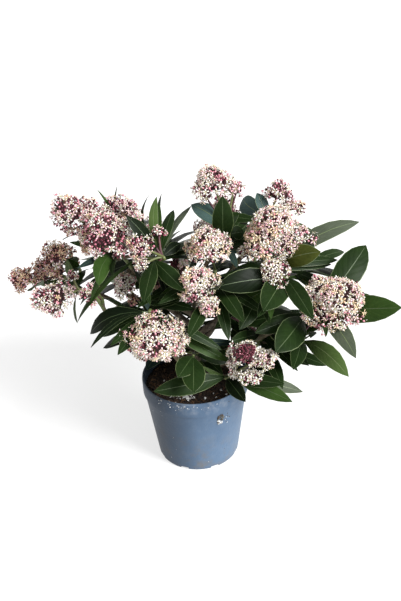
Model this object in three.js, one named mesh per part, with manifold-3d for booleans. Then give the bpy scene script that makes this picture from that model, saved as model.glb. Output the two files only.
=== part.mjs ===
// A potted skimmia in flower: a round nursery pot, the compost in it, and an evergreen shrub whose short
// leaning trunk forks into rising boughs. Each bough carries a mass of leafy shoots with domed flower heads.
// Millimetres, +Z up. The origin is the middle of the pot's flat underside. The plant is widest along X.

import * as THREE from "three";
import { mergeVertices } from "three/addons/utils/BufferGeometryUtils.js";
import Module from "manifold-3d";

const wasm = await Module();
wasm.setup();

// ---- driving dimensions ----

const clearance = 0.3; // between two solids that touch on the real plant
const grid = 0.01; // corners of fused solids lie on it

const pot = {
  height: 113,
  rimRadius: 65, // a 13 cm pot
  footRadius: 50,
  bandHeight: 20, // the collar below the rim, which stands proud of the wall
  bandStep: 2,
  wall: 1.6,
  rimWall: 2.6, // the rim's upper edge is thicker
  floor: 2,
  footRound: 1.5,
  rimRound: 1,
  facets: 40,
  slots: 8, // drain slots, cut where the wall meets the floor
  slotWidth: 11,
  slotHeight: 3.5,
  slotDepth: 7,
};

const compost = {
  level: 100,
  crownRise: 1.5, // of the ring between the flat round the trunk and the lower edge
  flatRadius: 16,
  edgeWidth: 6,
  edgeDrop: 2,
};

const trunk = {
  foot: [0, 0],
  lean: [6, 10], // where its curve is pulled to on the way up
  tip: [14, 24, 235],
  uprightTo: 0.36, // shares of its height
  leanAt: 0.68,
  footRadius: 6.5, // at soil level, above the flare
  tipRadius: 3.6,
  flare: 4.2, // added at the very foot, and gone within a few millimetres
  flareReach: 0.05,
  sides: 9,
  steps: 12,
};

const bough = { footShare: 0.78, tipRadius: 2.9, sides: 6, steps: 5, sag: 0.07, sagAt: 0.55 };

// A mass's stems. One that forks off sets out partly the way its mass sets out.
const stem = {
  footRadius: 3,
  forkRadius: 2.5,
  tipRadius: 1.6,
  sides: 4,
  steps: 6,
  pull: 0.36, // how far its curve holds each end's direction, as a share of its reach
  onward: 0.4,
};

// The stalk of a side head, which leaves its stem a little below the tip.
const stalk = { footRadius: 1.6, tipRadius: 1.2, sides: 3, steps: 2, below: 2, outward: 0.6 };

const leaf = {
  length: 82,
  widthShare: 0.33, // of the length
  stations: [[0, 0], [0.12, 0.12], [0.42, 1], [0.76, 0.78], [1, 0]], // shares of the length and the width
  thicknessShare: 0.016, // of the length
  arch: 0.07, // how high the blade bows over a straight line from root to tip
  faceUp: 0.6, // how far its upper side turns from its stem's direction to the sky
};

const whorl = {
  firstFork: 0.82, // share of the first shoot's length at which the second leaves it
  forkStep: 0.16, // the third leaves it this much lower
  goldenAngle: 137.5,
  leaves: 10, // round a shoot's tip
  opening: 58, // degrees off the shoot's own direction
  openingSpread: 26,
  belowTip: 1,
  spacing: 2.2, // each leaf sits this much lower on the shoot than the one before
  placedSpacing: 3.2,
  lowerLeaves: 5, // older leaves further down
  lowerStart: 24,
  lowerSpacing: 8,
  lowerOpening: 82,
  leafyShare: 0.8, // of a shoot's length, from its tip
  lowest: -24, // the rule's leaves turn out to the light: none hangs lower or stands steeper than this
  highest: 18,
  highestSpread: 8,
  shortest: 0.8,
  longest: 1.08,
  apart: 34, // a leaf of the rule gives way to a placed leaf closer than this, in degrees
};

const head = {
  detailOver: [12, 24], // a head over each of these radii has finer facets
  ringLobes: 5,
  ringOut: 0.5, // shares of the head's radius
  ringRadius: 0.5,
  ringSink: 0.22,
  topOut: 0.32,
  topRadius: 0.6,
  core: 0.5,
  unevenness: 0.16,
  faceUp: 0.3, // how far its dome turns from its stem's direction to the sky
};

// Where a leaf would touch something, it is turned sideways and tipped away from its shoot, or left out.
const shifts = [[0, 0], [12, 0], [-12, 0], [0, 12], [0, 24], [20, 12], [-20, 12], [0, 36]];
const crownReach = { left: -232, right: 254, front: -152, back: 168, low: 117, high: 372 };

// Each bough leaves the trunk at a share of the trunk's height and ends where its mass begins.
const boughs = {
  front_right: { fork: 0.07, tip: [28, -38, 134] },
  front_left: { fork: 0.13, tip: [-20, -42, 166] },
  far_left: { fork: 0.16, tip: [-85, 50, 180] },
  right: { fork: 0.2, tip: [98, -24, 186] },
  back_centre: { fork: 0.22, tip: [5, 72, 190] },
  left: { fork: 0.3, tip: [-85, -2, 188] },
  back_right: { fork: 0.32, tip: [62, 76, 185] },
  back_left: { fork: 0.38, tip: [-50, 74, 185] },
  right_centre: { fork: 0.45, tip: [65, 4, 218] },
  left_top: { fork: 0.52, tip: [-70, 46, 232] },
  centre: { fork: 0.56, tip: [10, -20, 222] },
  left_centre: { fork: 0.64, tip: [-36, 4, 224] },
  right_top: { fork: 0.67, tip: [66, 48, 250] },
};

// Each mass of foliage grows on from a bough's tip, from the trunk's tip, or from the trunk's side.
// A shoot ends at its tip in a whorl of leaves, and its heads stand beyond it: [x, y, z, radius].
// Leaves that show by themselves are placed: [compass angle from +X, rise, length]. The whorl rule adds the
// rest, on the side between two compass angles and under the highest rise, where a shoot gives these.
// A shoot after the first leaves the first one at its fork, a share of that one's length.
const masses = {
  far_left: {
    onBough: "far_left",
    shoots: [
      {
        tip: [-183, 85, 198],
        heads: [[-210, 90, 205, 18]],
        leaves: [[263, 25, 60]],
        side: [30, 125],
        highest: 0,
      },
      { tip: [-157, 88, 208], heads: [[-181, 95, 215, 17]], leaves: [], side: [20, 130], highest: 0 },
      {
        tip: [-137, 80, 223],
        heads: [[-161, 85, 238, 21]],
        leaves: [[261, 39, 60], [271, 48, 60]],
        side: [-10, 140],
        highest: 4,
      },
    ],
  },
  left: {
    onBough: "left",
    shoots: [
      {
        tip: [-129, 0, 238],
        heads: [[-159, -10, 237, 25], [-135, 8, 252, 8]],
        leaves: [[274, 0, 70]],
        side: [40, 150],
        highest: -4,
      },
      {
        tip: [-104, 4, 224],
        heads: [[-112, 5, 238, 7.5]],
        leaves: [],
        side: [-60, 100],
        highest: 0,
        fork: 0.4,
      },
    ],
  },
  left_top: {
    onBough: "left_top",
    shoots: [
      { tip: [-120, 65, 290], heads: [[-137, 60, 314, 25]], leaves: [], side: [30, 150], highest: -10 },
      { tip: [-82, 70, 280], heads: [[-90, 75, 302, 26]], leaves: [], side: [10, 160], highest: -8 },
    ],
  },
  left_centre: {
    onBough: "left_centre",
    shoots: [
      {
        tip: [-80, 10, 283],
        heads: [[-93, 5, 309, 28]],
        leaves: [[253, -3, 70], [260, 10, 60], [246, -16, 80], [144, -8, 75]],
        side: [-70, 120],
        highest: -5,
      },
      {
        tip: [-28, -5, 279],
        heads: [[-44, -10, 300, 20], [-51, -15, 280, 10]],
        leaves: [
          [89, 36, 80], [103, 31, 85], [79, 19, 75], [65, 16, 90], [70, 2, 65],
          [252, -14, 72], [295, -14, 60],
        ],
        side: [100, 200],
        highest: 10,
      },
    ],
  },
  inner_left: {
    onTrunk: 0.46,
    shoots: [
      {
        tip: [-62, 15, 212],
        heads: [[-75, 15, 233, 16.5], [-67, 10, 215, 8]],
        leaves: [[324, 4, 70], [292, 15, 60]],
        highest: 8,
      },
    ],
  },
  front_left: {
    onBough: "front_left",
    shoots: [
      {
        tip: [-46, -48, 232],
        heads: [[-42, -85, 223, 32]],
        leaves: [[165, -26, 85], [223, -1, 85], [160, -40, 75], [240, -13, 70]],
        side: [-60, 150],
        highest: 6,
      },
    ],
  },
  centre: {
    onBough: "centre",
    shoots: [
      { tip: [30, 5, 253], heads: [[22, -5, 292, 25]], leaves: [[74, 6, 50]], highest: 2 },
      {
        tip: [25, -22, 232],
        heads: [[12, -45, 266, 21], [19, -45, 233, 11]],
        leaves: [[240, -15, 60], [275, 41, 65]],
        highest: 0,
      },
      { tip: [-12, 12, 240], heads: [[-15, 20, 254, 8.5]], leaves: [], side: [60, 260], highest: 0 },
    ],
  },
  top: {
    onTrunk: 1,
    shoots: [
      {
        tip: [48, 35, 291],
        heads: [[33, 55, 340, 23], [56, 45, 334, 10.5]],
        leaves: [[92, 2, 80], [124, 2, 75], [78, -2, 60], [236, 9, 50]],
        highest: 4,
      },
    ],
  },
  right_top: {
    onBough: "right_top",
    shoots: [
      {
        tip: [99, 65, 289],
        heads: [[110, 75, 313, 18], [133, 65, 297, 9.5]],
        leaves: [[116, 3, 55]],
        side: [50, 270],
        highest: 0,
      },
    ],
  },
  right_centre: {
    onBough: "right_centre",
    shoots: [
      {
        tip: [100, 12, 252],
        heads: [[98, 5, 298, 32], [135, 10, 286, 10], [63, 5, 276, 9]],
        leaves: [[313, 31, 75], [18, -9, 85], [3, 25, 105], [15, 2, 85]],
        side: [40, 300],
        highest: 0,
      },
      {
        tip: [111, -12, 246],
        heads: [[95, -25, 262, 18]],
        leaves: [[203, 9, 80], [192, -21, 78], [224, -20, 85], [247, 1, 75], [286, -5, 80]],
        highest: 5,
      },
    ],
  },
  right: {
    onBough: "right",
    shoots: [
      {
        tip: [151, -18, 208],
        heads: [[165, -45, 232, 34]],
        leaves: [[44, 31, 95], [324, 15, 100], [288, -10, 85], [274, 1, 75]],
        highest: 8,
      },
    ],
  },
  low_right: {
    onTrunk: 0.125,
    shoots: [
      { tip: [82, -10, 172], heads: [[79, -20, 197, 10.5]], leaves: [[227, 16, 60]] },
      {
        tip: [130, -15, 170],
        heads: [[132, -8, 187, 10.5]],
        leaves: [[239, 18, 75], [256, 4, 75], [299, -5, 85]],
      },
    ],
  },
  front_right: {
    onBough: "front_right",
    shoots: [
      {
        tip: [42, -62, 150],
        heads: [[59, -78, 193, 18], [77, -80, 185, 14], [68, -85, 163, 11]],
        leaves: [[199, 4, 92], [324, -1, 80], [325, 14, 72], [358, -14, 85], [285, 8, 55], [127, 0, 55]],
      },
    ],
  },
  front_middle: {
    onTrunk: 0.37,
    shoots: [
      {
        tip: [0, -58, 178],
        heads: [],
        leaves: [[267, -4, 60], [251, 9, 50], [46, -22, 60]],
        side: [-80, 200],
        highest: 6,
      },
    ],
  },
  back_left: {
    onBough: "back_left",
    shoots: [
      { tip: [-82, 112, 210], heads: [[-94, 127, 232, 24]], leaves: [] },
      { tip: [-34, 116, 222], heads: [[-42, 133, 243, 19]], leaves: [] },
    ],
  },
  back_centre: {
    onBough: "back_centre",
    shoots: [
      { tip: [4, 112, 226], heads: [[2, 130, 250, 24]], leaves: [] },
      { tip: [40, 92, 256], heads: [[45, 108, 280, 19]], leaves: [] },
    ],
  },
  back_right: {
    onBough: "back_right",
    shoots: [
      { tip: [84, 112, 206], heads: [[92, 128, 229, 24]], leaves: [] },
      { tip: [142, 84, 206], heads: [[158, 92, 224, 15]], leaves: [] },
    ],
  },
  back_low: {
    onTrunk: 0.1,
    shoots: [
      { tip: [-22, 92, 158], heads: [[-30, 108, 176, 14]], leaves: [], highest: 4 },
      { tip: [60, 90, 150], heads: [[72, 102, 164, 9]], leaves: [], highest: 4, fork: 0.6 },
    ],
  },
};

// ---- small helpers ----

const up = new THREE.Vector3(0, 0, 1);

const vector = ([x, y, z]) => new THREE.Vector3(x, y, z);

const degrees = THREE.MathUtils.degToRad;

const between = THREE.MathUtils.lerp;

// A repeatable number from 0 to 1 for a place in the count.
function seeded(seed, item) {
  const value = Math.sin(seed * 12.9898 + item * 78.233) * 43758.5453;
  return value - Math.floor(value);
}

// The unit vector at a compass angle from +X and a rise above the level.
function heading(compass, rise) {
  const level = Math.cos(degrees(rise));
  return new THREE.Vector3(
    level * Math.cos(degrees(compass)), level * Math.sin(degrees(compass)), Math.sin(degrees(rise)));
}

// Whether a compass angle lies on the way round from one angle to another.
function isBetween(compass, [from, to]) {
  const round = (angle) => (angle % 360 + 360) % 360;
  return round(compass - from) <= round(to - from);
}

// The part of a vector that is square to a unit vector, made a unit long.
function squareTo(vectorIn, along) {
  return vectorIn.clone().addScaledVector(along, -vectorIn.dot(along)).normalize();
}

// ---- solids ----

// A closed geometry as a solid, its shared corners welded and its empty faces dropped.
function toSolid(geometry) {
  const bare = geometry.clone();
  bare.deleteAttribute("normal");
  bare.deleteAttribute("uv");
  const welded = mergeVertices(bare, 1e-4);
  const corners = welded.index.array;
  const faces = [];
  for (let i = 0; i < corners.length; i += 3) {
    const [a, b, c] = [corners[i], corners[i + 1], corners[i + 2]];
    if (a !== b && b !== c && c !== a) faces.push(a, b, c);
  }
  return new wasm.Manifold(new wasm.Mesh({
    numProp: 3,
    vertProperties: welded.attributes.position.array,
    triVerts: Uint32Array.from(faces),
  }));
}

// A solid's corners and faces, with the corners on a fine grid so that no two nearly meet.
function toIndexed(solid) {
  const mesh = solid.getMesh();
  const geometry = new THREE.BufferGeometry();
  const snapped = mesh.vertProperties.map((value) => Math.round(value / grid) * grid);
  geometry.setAttribute("position", new THREE.BufferAttribute(snapped, 3));
  geometry.setIndex(new THREE.BufferAttribute(mesh.triVerts, 1));
  return geometry;
}

// Solids joined into one closed body: sealed hollows are filled and loose scraps dropped.
function fuse(solids) {
  const joined = solids.reduce((whole, piece) => whole.add(piece)).simplify(grid);
  const snapped = toSolid(toIndexed(joined));
  return snapped.decompose().reduce((best, body) => (body.volume() > best.volume() ? body : best));
}

function toGeometry(solid) {
  const faceted = toIndexed(solid).toNonIndexed();
  faceted.computeVertexNormals();
  return faceted;
}

// A cylinder's corners carried to new places: each goes by its share of the height and its two cross axes.
function bend(sides, steps, place) {
  const geometry = new THREE.CylinderGeometry(1, 1, 1, sides, steps);
  const position = geometry.attributes.position;
  for (let i = 0; i < position.count; i += 1) {
    const at = place(position.getX(i), position.getY(i) + 0.5, position.getZ(i));
    position.setXYZ(i, at.x, at.y, at.z);
  }
  return toSolid(geometry);
}

// A tapering limb along a curve. Its radius is a function of the share of the way along.
function limb(curve, radiusAt, sides, steps) {
  const chord = curve.getPoint(1).sub(curve.getPoint(0)).normalize();
  const reference = squareTo(Math.abs(chord.z) < 0.8 ? up : new THREE.Vector3(0, 1, 0), chord);
  return bend(sides, steps, (x, share, z) => {
    const along = curve.getTangent(share);
    const across = reference.clone().cross(along).normalize();
    const other = across.clone().cross(along);
    return curve.getPoint(share)
      .addScaledVector(across, x * radiusAt(share))
      .addScaledVector(other, z * radiusAt(share));
  });
}

// A smooth curve that leaves one point in one direction and arrives at another in a second direction.
function reach(from, leaving, to, arriving) {
  const pull = from.distanceTo(to) * stem.pull;
  return new THREE.CubicBezierCurve3(
    from,
    from.clone().addScaledVector(leaving, pull),
    to.clone().addScaledVector(arriving, -pull),
    to,
  );
}

const taper = (from, to) => (share) => between(from, to, share);

// A leaf: a three-sided blade on a short stalk, flat above and keeled below, bowed over from its root to its
// pointed tip. Without its stalk it starts at the second station.
function leafBlade({ root, direction, facing, length }, withStalk = true) {
  const stations = withStalk ? leaf.stations : leaf.stations.slice(1);
  const top = squareTo(facing, direction);
  const side = top.clone().cross(direction);
  return bend(3, stations.length - 1, (x, part, z) => {
    const [share, fullness] = stations[Math.round(part * (stations.length - 1))];
    const bow = leaf.arch * length * 4 * share * (1 - share);
    const depth = fullness > 0 ? leaf.thicknessShare * length : 0;
    const half = fullness * length * leaf.widthShare / 2;
    return root.clone()
      .addScaledVector(direction, share * length)
      .addScaledVector(top, bow - depth * (z + 0.5) / 1.5)
      .addScaledVector(side, x / Math.sin(Math.PI / 3) * half);
  });
}

// The round lobes that make up one domed head: one on top and a ring of others.
function headLobes(middle, radius, axis, seed) {
  const level = squareTo(Math.abs(axis.z) < 0.9 ? up : new THREE.Vector3(1, 0, 0), axis);
  const other = axis.clone().cross(level);
  const lobes = [{
    at: middle.clone().addScaledVector(axis, radius * head.topOut),
    radius: radius * head.topRadius,
  }];
  for (let i = 0; i < head.ringLobes; i += 1) {
    const angle = (i + seeded(seed, i) * 0.4) / head.ringLobes * 2 * Math.PI;
    const out = radius * head.ringOut;
    lobes.push({
      at: middle.clone()
        .addScaledVector(level, Math.cos(angle) * out)
        .addScaledVector(other, Math.sin(angle) * out)
        .addScaledVector(axis, -radius * head.ringSink),
      radius: radius * head.ringRadius * (1 + head.unevenness * (seeded(seed, i + 20) - 0.5)),
    });
  }
  return lobes;
}

// A head's solid: a sphere whose corners are pushed out to the furthest lobe.
function flowerHead(middle, radius, axis, seed) {
  const lobes = headLobes(middle, radius, axis, seed);
  const geometry = new THREE.IcosahedronGeometry(1, head.detailOver.filter((size) => radius > size).length);
  const position = geometry.attributes.position;
  const ray = new THREE.Vector3();
  for (let i = 0; i < position.count; i += 1) {
    ray.fromBufferAttribute(position, i).normalize();
    let far = radius * head.core;
    for (const lobe of lobes) {
      const offset = lobe.at.clone().sub(middle);
      const nearest = offset.dot(ray);
      const inside = lobe.radius ** 2 - offset.lengthSq() + nearest ** 2;
      if (inside > 0) far = Math.max(far, nearest + Math.sqrt(inside));
    }
    position.setXYZ(i, middle.x + ray.x * far, middle.y + ray.y * far, middle.z + ray.z * far);
  }
  return toSolid(geometry);
}

// ---- pot, compost and limbs ----

function lathe(profile, facets) {
  return toSolid(new THREE.LatheGeometry(profile.map(([r, z]) => new THREE.Vector2(r, z)), facets)
    .rotateX(Math.PI / 2));
}

// The wall's outer radius at a height, below the band.
function wallRadius(z) {
  return between(pot.footRadius, pot.rimRadius - pot.bandStep, z / (pot.height - pot.bandHeight));
}

function makePot() {
  const bandFoot = pot.height - pot.bandHeight;
  const shoulder = wallRadius(bandFoot);
  const shell = lathe([
    [0, 0],
    [pot.footRadius - pot.footRound, 0],
    [pot.footRadius, pot.footRound],
    [shoulder, bandFoot],
    [pot.rimRadius - pot.rimRound / 2, bandFoot + pot.rimRound / 2],
    [pot.rimRadius, pot.height - pot.rimRound],
    [pot.rimRadius - pot.rimRound, pot.height],
    [pot.rimRadius - pot.rimWall, pot.height - pot.rimRound],
    [pot.rimRadius - pot.bandStep - pot.wall, bandFoot],
    [wallRadius(pot.floor) - pot.wall, pot.floor],
    [0, pot.floor],
  ], pot.facets);
  let drained = shell;
  for (let i = 0; i < pot.slots; i += 1) {
    const angle = (i + 0.5) / pot.slots * 2 * Math.PI;
    const cutter = new THREE.BoxGeometry(pot.slotDepth, pot.slotWidth, pot.slotHeight * 2)
      .translate(pot.footRadius, 0, 0)
      .rotateZ(angle);
    drained = drained.subtract(toSolid(cutter));
  }
  return drained;
}

function makeCompost() {
  const side = (z) => wallRadius(z) - pot.wall - clearance;
  const bandFoot = pot.height - pot.bandHeight;
  const low = pot.floor + clearance;
  const edge = side(bandFoot);
  return lathe([
    [0, low],
    [side(low), low],
    [edge, bandFoot],
    [edge, compost.level - compost.edgeDrop],
    [edge - compost.edgeWidth, compost.level - compost.edgeDrop / 2],
    [(edge + compost.flatRadius) / 2, compost.level + compost.crownRise],
    [compost.flatRadius, compost.level],
    [0, compost.level],
  ], pot.facets);
}

const trunkFoot = compost.level + clearance;
const trunkCurve = new THREE.CubicBezierCurve3(
  vector([...trunk.foot, trunkFoot]),
  vector([...trunk.foot, between(trunkFoot, trunk.tip[2], trunk.uprightTo)]),
  vector([...trunk.lean, between(trunkFoot, trunk.tip[2], trunk.leanAt)]),
  vector(trunk.tip),
);

function trunkRadius(share) {
  const flare = trunk.flare * Math.exp(-share / trunk.flareReach);
  return between(trunk.footRadius, trunk.tipRadius, share) + flare;
}

// The trunk, or the trunk grown by a clearance, which cuts what meets it.
function makeTrunk(extra) {
  return limb(trunkCurve, (share) => trunkRadius(share) + extra, trunk.sides, trunk.steps);
}

const trunkCutter = makeTrunk(clearance);

function boughCurve({ fork, tip }) {
  const from = trunkCurve.getPoint(fork);
  const to = vector(tip);
  const middle = from.clone().lerp(to, bough.sagAt);
  middle.z -= from.distanceTo(to) * bough.sag;
  return new THREE.QuadraticBezierCurve3(from, middle, to);
}

// A bough is always thinner than the trunk that it leaves.
function makeBough(place) {
  const radiusAt = taper(trunkRadius(place.fork) * bough.footShare, bough.tipRadius);
  return limb(boughCurve(place), radiusAt, bough.sides, bough.steps).subtract(trunkCutter);
}

// ---- foliage ----

// Where a mass starts, which way it sets off, and whether the trunk has to be cut from its foot.
function massStart(mass) {
  if (mass.onBough) {
    const curve = boughCurve(boughs[mass.onBough]);
    const leaving = curve.getTangent(1);
    return { from: curve.getPoint(1).addScaledVector(leaving, clearance), leaving, cut: false };
  }
  const from = trunkCurve.getPoint(mass.onTrunk);
  if (mass.onTrunk === 1) {
    const leaving = trunkCurve.getTangent(1);
    return { from: from.addScaledVector(leaving, clearance), leaving, cut: false };
  }
  return { from, leaving: squareTo(vector(mass.shoots[0].tip).sub(from), up), cut: true };
}

// A shoot's own direction: towards its first head, or on from its foot where it has none.
function shootAxis(shoot, from) {
  const tip = vector(shoot.tip);
  return shoot.heads.length ? vector(shoot.heads[0]).sub(tip).normalize() : tip.clone().sub(from).normalize();
}

// A shoot from its foot to its tip and straight on to the middle of its first head, where it has one.
function makeShoot(curve, { heads, tip }) {
  const path = new THREE.CurvePath();
  path.add(curve);
  if (heads.length) path.add(new THREE.LineCurve3(vector(tip), vector(heads[0])));
  return {
    path,
    tip: vector(tip),
    axis: curve.getTangent(1),
    length: curve.getLength(), // to the tip
    whole: path.getLength(),
  };
}

// The middle of a shoot's solid at a distance down from its tip. The solid runs straight between its rings.
function insideShoot(shoot, down) {
  const place = (shoot.length - down) / shoot.whole * stem.steps;
  const ring = Math.min(Math.floor(place), stem.steps - 1);
  const next = shoot.path.getPoint((ring + 1) / stem.steps);
  return shoot.path.getPoint(ring / stem.steps).lerp(next, place - ring);
}

// A mass's shoots: the first runs on from the mass's foot, and the others fork from it by rule.
function makeShoots(mass, start) {
  const [first, ...rest] = mass.shoots;
  const leader = makeShoot(
    reach(start.from, start.leaving, vector(first.tip), shootAxis(first, start.from)), first);
  const forked = rest.map((one, i) => {
    const share = one.fork ?? whorl.firstFork - whorl.forkStep * i;
    const from = insideShoot(leader, leader.length * (1 - share));
    const tip = vector(one.tip);
    const leaving = tip.clone().sub(from).normalize().lerp(start.leaving, stem.onward).normalize();
    return makeShoot(reach(from, leaving, tip, shootAxis(one, from)), one);
  });
  return [leader, ...forked];
}

// The woody frame and the heads of a mass, which its leaves then join.
function massFrame(mass, seed) {
  const start = massStart(mass);
  const shoots = makeShoots(mass, start);
  const twigs = shoots.map(({ path }, i) => limb(
    path, taper(i === 0 ? stem.footRadius : stem.forkRadius, stem.tipRadius), stem.sides, stem.steps));
  const pieces = [];
  mass.shoots.forEach(({ heads }, i) => heads.forEach((place, j) => {
    const middle = vector(place);
    const from = j === 0 ? shoots[i].tip : insideShoot(shoots[i], stalk.below);
    const out = middle.clone().sub(from).normalize();
    if (j > 0) {
      const leaving = shoots[i].axis.clone().lerp(out, stalk.outward).normalize();
      const neck = reach(from, leaving, middle, out);
      pieces.push(limb(neck, taper(stalk.footRadius, stalk.tipRadius), stalk.sides, stalk.steps));
    }
    const dome = out.clone().lerp(up, head.faceUp).normalize();
    pieces.push(flowerHead(middle, place[3], dome, seed * 10 + i * 3 + j));
  }));
  return { start, shoots, twigs: twigs.map(obstacle), heads: pieces.map(obstacle) };
}

// A leaf as the place of its root, its direction and length, and the way its upper side looks.
function leafPlan(shoot, down, direction, length) {
  const facing = shoot.axis.clone().lerp(up, leaf.faceUp);
  return { root: insideShoot(shoot, down), direction, length, axis: shoot.axis, facing };
}

// A shoot's placed leaves: each ends where its angles point from the shoot's tip, whatever its root's place.
function placedLeaves({ leaves }, shoot) {
  return leaves.map(([compass, rise, length], i) => {
    const down = whorl.belowTip + i * whorl.placedSpacing;
    const end = shoot.tip.clone().addScaledVector(heading(compass, rise), length);
    const run = end.sub(insideShoot(shoot, down));
    return leafPlan(shoot, down, run.clone().normalize(), run.length());
  });
}

// The leaves that the whorl rule adds to a shoot, away from its placed ones.
function ruledLeaves({ side, highest = whorl.highest }, shoot, placed, seed) {
  const { axis } = shoot;
  const level = squareTo(Math.abs(axis.z) < 0.9 ? up : new THREE.Vector3(1, 0, 0), axis);
  const other = axis.clone().cross(level);
  const ruled = [];
  for (let i = 0; i < whorl.leaves + whorl.lowerLeaves; i += 1) {
    const lower = i >= whorl.leaves;
    const down = lower
      ? whorl.lowerStart + (i - whorl.leaves) * whorl.lowerSpacing
      : whorl.belowTip + placed.length * whorl.placedSpacing + i * whorl.spacing;
    if (down > shoot.length * whorl.leafyShare) continue;
    const opening = degrees(
      (lower ? whorl.lowerOpening : whorl.opening) + whorl.openingSpread * (seeded(seed, i) - 0.5));
    const turn = degrees(i * whorl.goldenAngle + 360 * seeded(seed, 99));
    const even = axis.clone().multiplyScalar(Math.cos(opening))
      .addScaledVector(level, Math.sin(opening) * Math.cos(turn))
      .addScaledVector(other, Math.sin(opening) * Math.sin(turn));
    const compass = THREE.MathUtils.radToDeg(Math.atan2(even.y, even.x));
    const rise = THREE.MathUtils.radToDeg(Math.asin(even.z));
    const steepest = highest - whorl.highestSpread * seeded(seed, i + 70);
    const direction = heading(compass, Math.min(Math.max(rise, whorl.lowest), steepest));
    if (side && !isBetween(compass, side)) continue;
    if (placed.some((one) => one.direction.angleTo(direction) < degrees(whorl.apart))) continue;
    const length = leaf.length * between(whorl.shortest, whorl.longest, seeded(seed, i + 50));
    ruled.push(leafPlan(shoot, down, direction, length));
  }
  return ruled;
}

function withinCrown(box) {
  return box.min[0] > crownReach.left && box.max[0] < crownReach.right
    && box.min[1] > crownReach.front && box.max[1] < crownReach.back
    && box.min[2] > crownReach.low && box.max[2] < crownReach.high;
}

function boxesMeet(a, b) {
  return [0, 1, 2].every((k) => a.min[k] < b.max[k] + clearance && b.min[k] < a.max[k] + clearance);
}

// Whether a solid keeps its clearance from every obstacle.
function isClear(one, obstacles) {
  return obstacles.every((other) => !boxesMeet(one.box, other.box)
    || one.solid.minGap(other.solid, clearance * 2) > clearance * 0.8);
}

const obstacle = (solid) => ({ solid, box: solid.boundingBox() });

// The leaf at the first of the shifts that keeps it in the crown, clear of the other masses and, past its
// foot, clear of its own, if any does.
function fitLeaf(candidate, others, own) {
  for (const [turn, tip] of shifts) {
    const away = candidate.axis.clone().cross(candidate.direction).normalize();
    const direction = candidate.direction.clone()
      .applyAxisAngle(away, degrees(tip))
      .applyAxisAngle(candidate.axis, degrees(turn));
    const shifted = { ...candidate, direction };
    const whole = obstacle(leafBlade(shifted));
    const blade = obstacle(leafBlade(shifted, false));
    if (withinCrown(whole.box) && isClear(whole, others) && isClear(blade, own)) return { whole, blade };
  }
  return null;
}

// ---- the whole plant ----

const finish = {
  pot: { color: 0x6d7f97, roughness: 0.5, metalness: 0 },
  compost: { color: 0x2b211b, roughness: 1, metalness: 0 },
  bark: { color: 0x5a4a38, roughness: 0.85, metalness: 0 },
  foliage: { color: 0x35502f, roughness: 0.4, metalness: 0 },
};

function addPart(group, name, solid, look) {
  const mesh = new THREE.Mesh(toGeometry(solid), new THREE.MeshStandardMaterial(look));
  mesh.name = name;
  group.add(mesh);
}

const plant = new THREE.Group();
const solids = {
  pot: makePot(),
  compost: makeCompost(),
  trunk: makeTrunk(0),
};
for (const [name, place] of Object.entries(boughs)) {
  solids[`bough_${name}`] = makeBough(place);
}

const fixed = Object.values(solids).map(obstacle);
const names = Object.keys(masses);
const frames = names.map((name, i) => massFrame(masses[name], i + 1));
const grown = frames.map((frame) => [...frame.twigs, ...frame.heads]);

const blades = names.map(() => []);

// Fits leaves on shoot j of mass i. Placed leaves may touch their own mass's heads.
function growLeaves(plans, i, j, mayTouchHeads) {
  const others = [...fixed, ...grown.filter((_, k) => k !== i).flat()];
  const otherTwigs = frames[i].twigs.filter((_, k) => k !== j);
  for (const plan of plans) {
    const own = [...otherTwigs, ...blades[i], ...(mayTouchHeads ? [] : frames[i].heads)];
    const fitted = fitLeaf(plan, others, own);
    if (!fitted) continue;
    grown[i].push(fitted.whole);
    blades[i].push(fitted.blade);
  }
}

const placed = names.map((name, i) => masses[name].shoots.map(
  (one, j) => placedLeaves(one, frames[i].shoots[j])));
names.forEach((name, i) => masses[name].shoots.forEach((_, j) => growLeaves(placed[i][j], i, j, true)));
names.forEach((name, i) => masses[name].shoots.forEach((one, j) => {
  growLeaves(ruledLeaves(one, frames[i].shoots[j], placed[i][j], i * 7 + j + 1), i, j, false);
}));

addPart(plant, "pot", solids.pot, finish.pot);
addPart(plant, "compost", solids.compost, finish.compost);
addPart(plant, "trunk", solids.trunk, finish.bark);
for (const name of Object.keys(boughs)) addPart(plant, `bough_${name}`, solids[`bough_${name}`], finish.bark);
names.forEach((name, i) => {
  const whole = fuse(grown[i].map((one) => one.solid));
  const clean = frames[i].start.cut ? fuse([whole.subtract(trunkCutter)]) : whole;
  addPart(plant, `foliage_${name}`, clean, finish.foliage);
});

export default plant;
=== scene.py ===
# A skimmia in flower in its nursery pot, dressed over the CAD frame.
# Metres, +Z up, the crown widest along X. Sizes in the dictionaries are millimetres.
import math
import random

import bpy
import numpy as np
from mathutils import Matrix, Vector, noise
from mathutils.bvhtree import BVHTree


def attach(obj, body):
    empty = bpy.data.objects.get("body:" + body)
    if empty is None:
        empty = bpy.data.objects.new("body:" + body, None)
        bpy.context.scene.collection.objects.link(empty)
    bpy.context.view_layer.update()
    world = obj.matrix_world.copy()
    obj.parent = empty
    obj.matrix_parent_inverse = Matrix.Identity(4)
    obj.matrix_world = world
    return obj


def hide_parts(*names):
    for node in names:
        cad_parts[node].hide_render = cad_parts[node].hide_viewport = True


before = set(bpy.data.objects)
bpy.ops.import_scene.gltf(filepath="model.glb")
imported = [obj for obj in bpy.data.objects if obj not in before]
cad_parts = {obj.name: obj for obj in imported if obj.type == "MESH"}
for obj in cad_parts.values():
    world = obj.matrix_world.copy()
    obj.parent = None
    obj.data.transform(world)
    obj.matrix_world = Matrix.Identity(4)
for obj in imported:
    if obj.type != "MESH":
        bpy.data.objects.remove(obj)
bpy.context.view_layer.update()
bpy.ops.object.select_all(action="DESELECT")
random.seed(11)
mm = 0.001
up = Vector((0, 0, 1))
fullTurn = 2 * math.pi
goldenTurn = math.radians(137.5)

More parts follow.
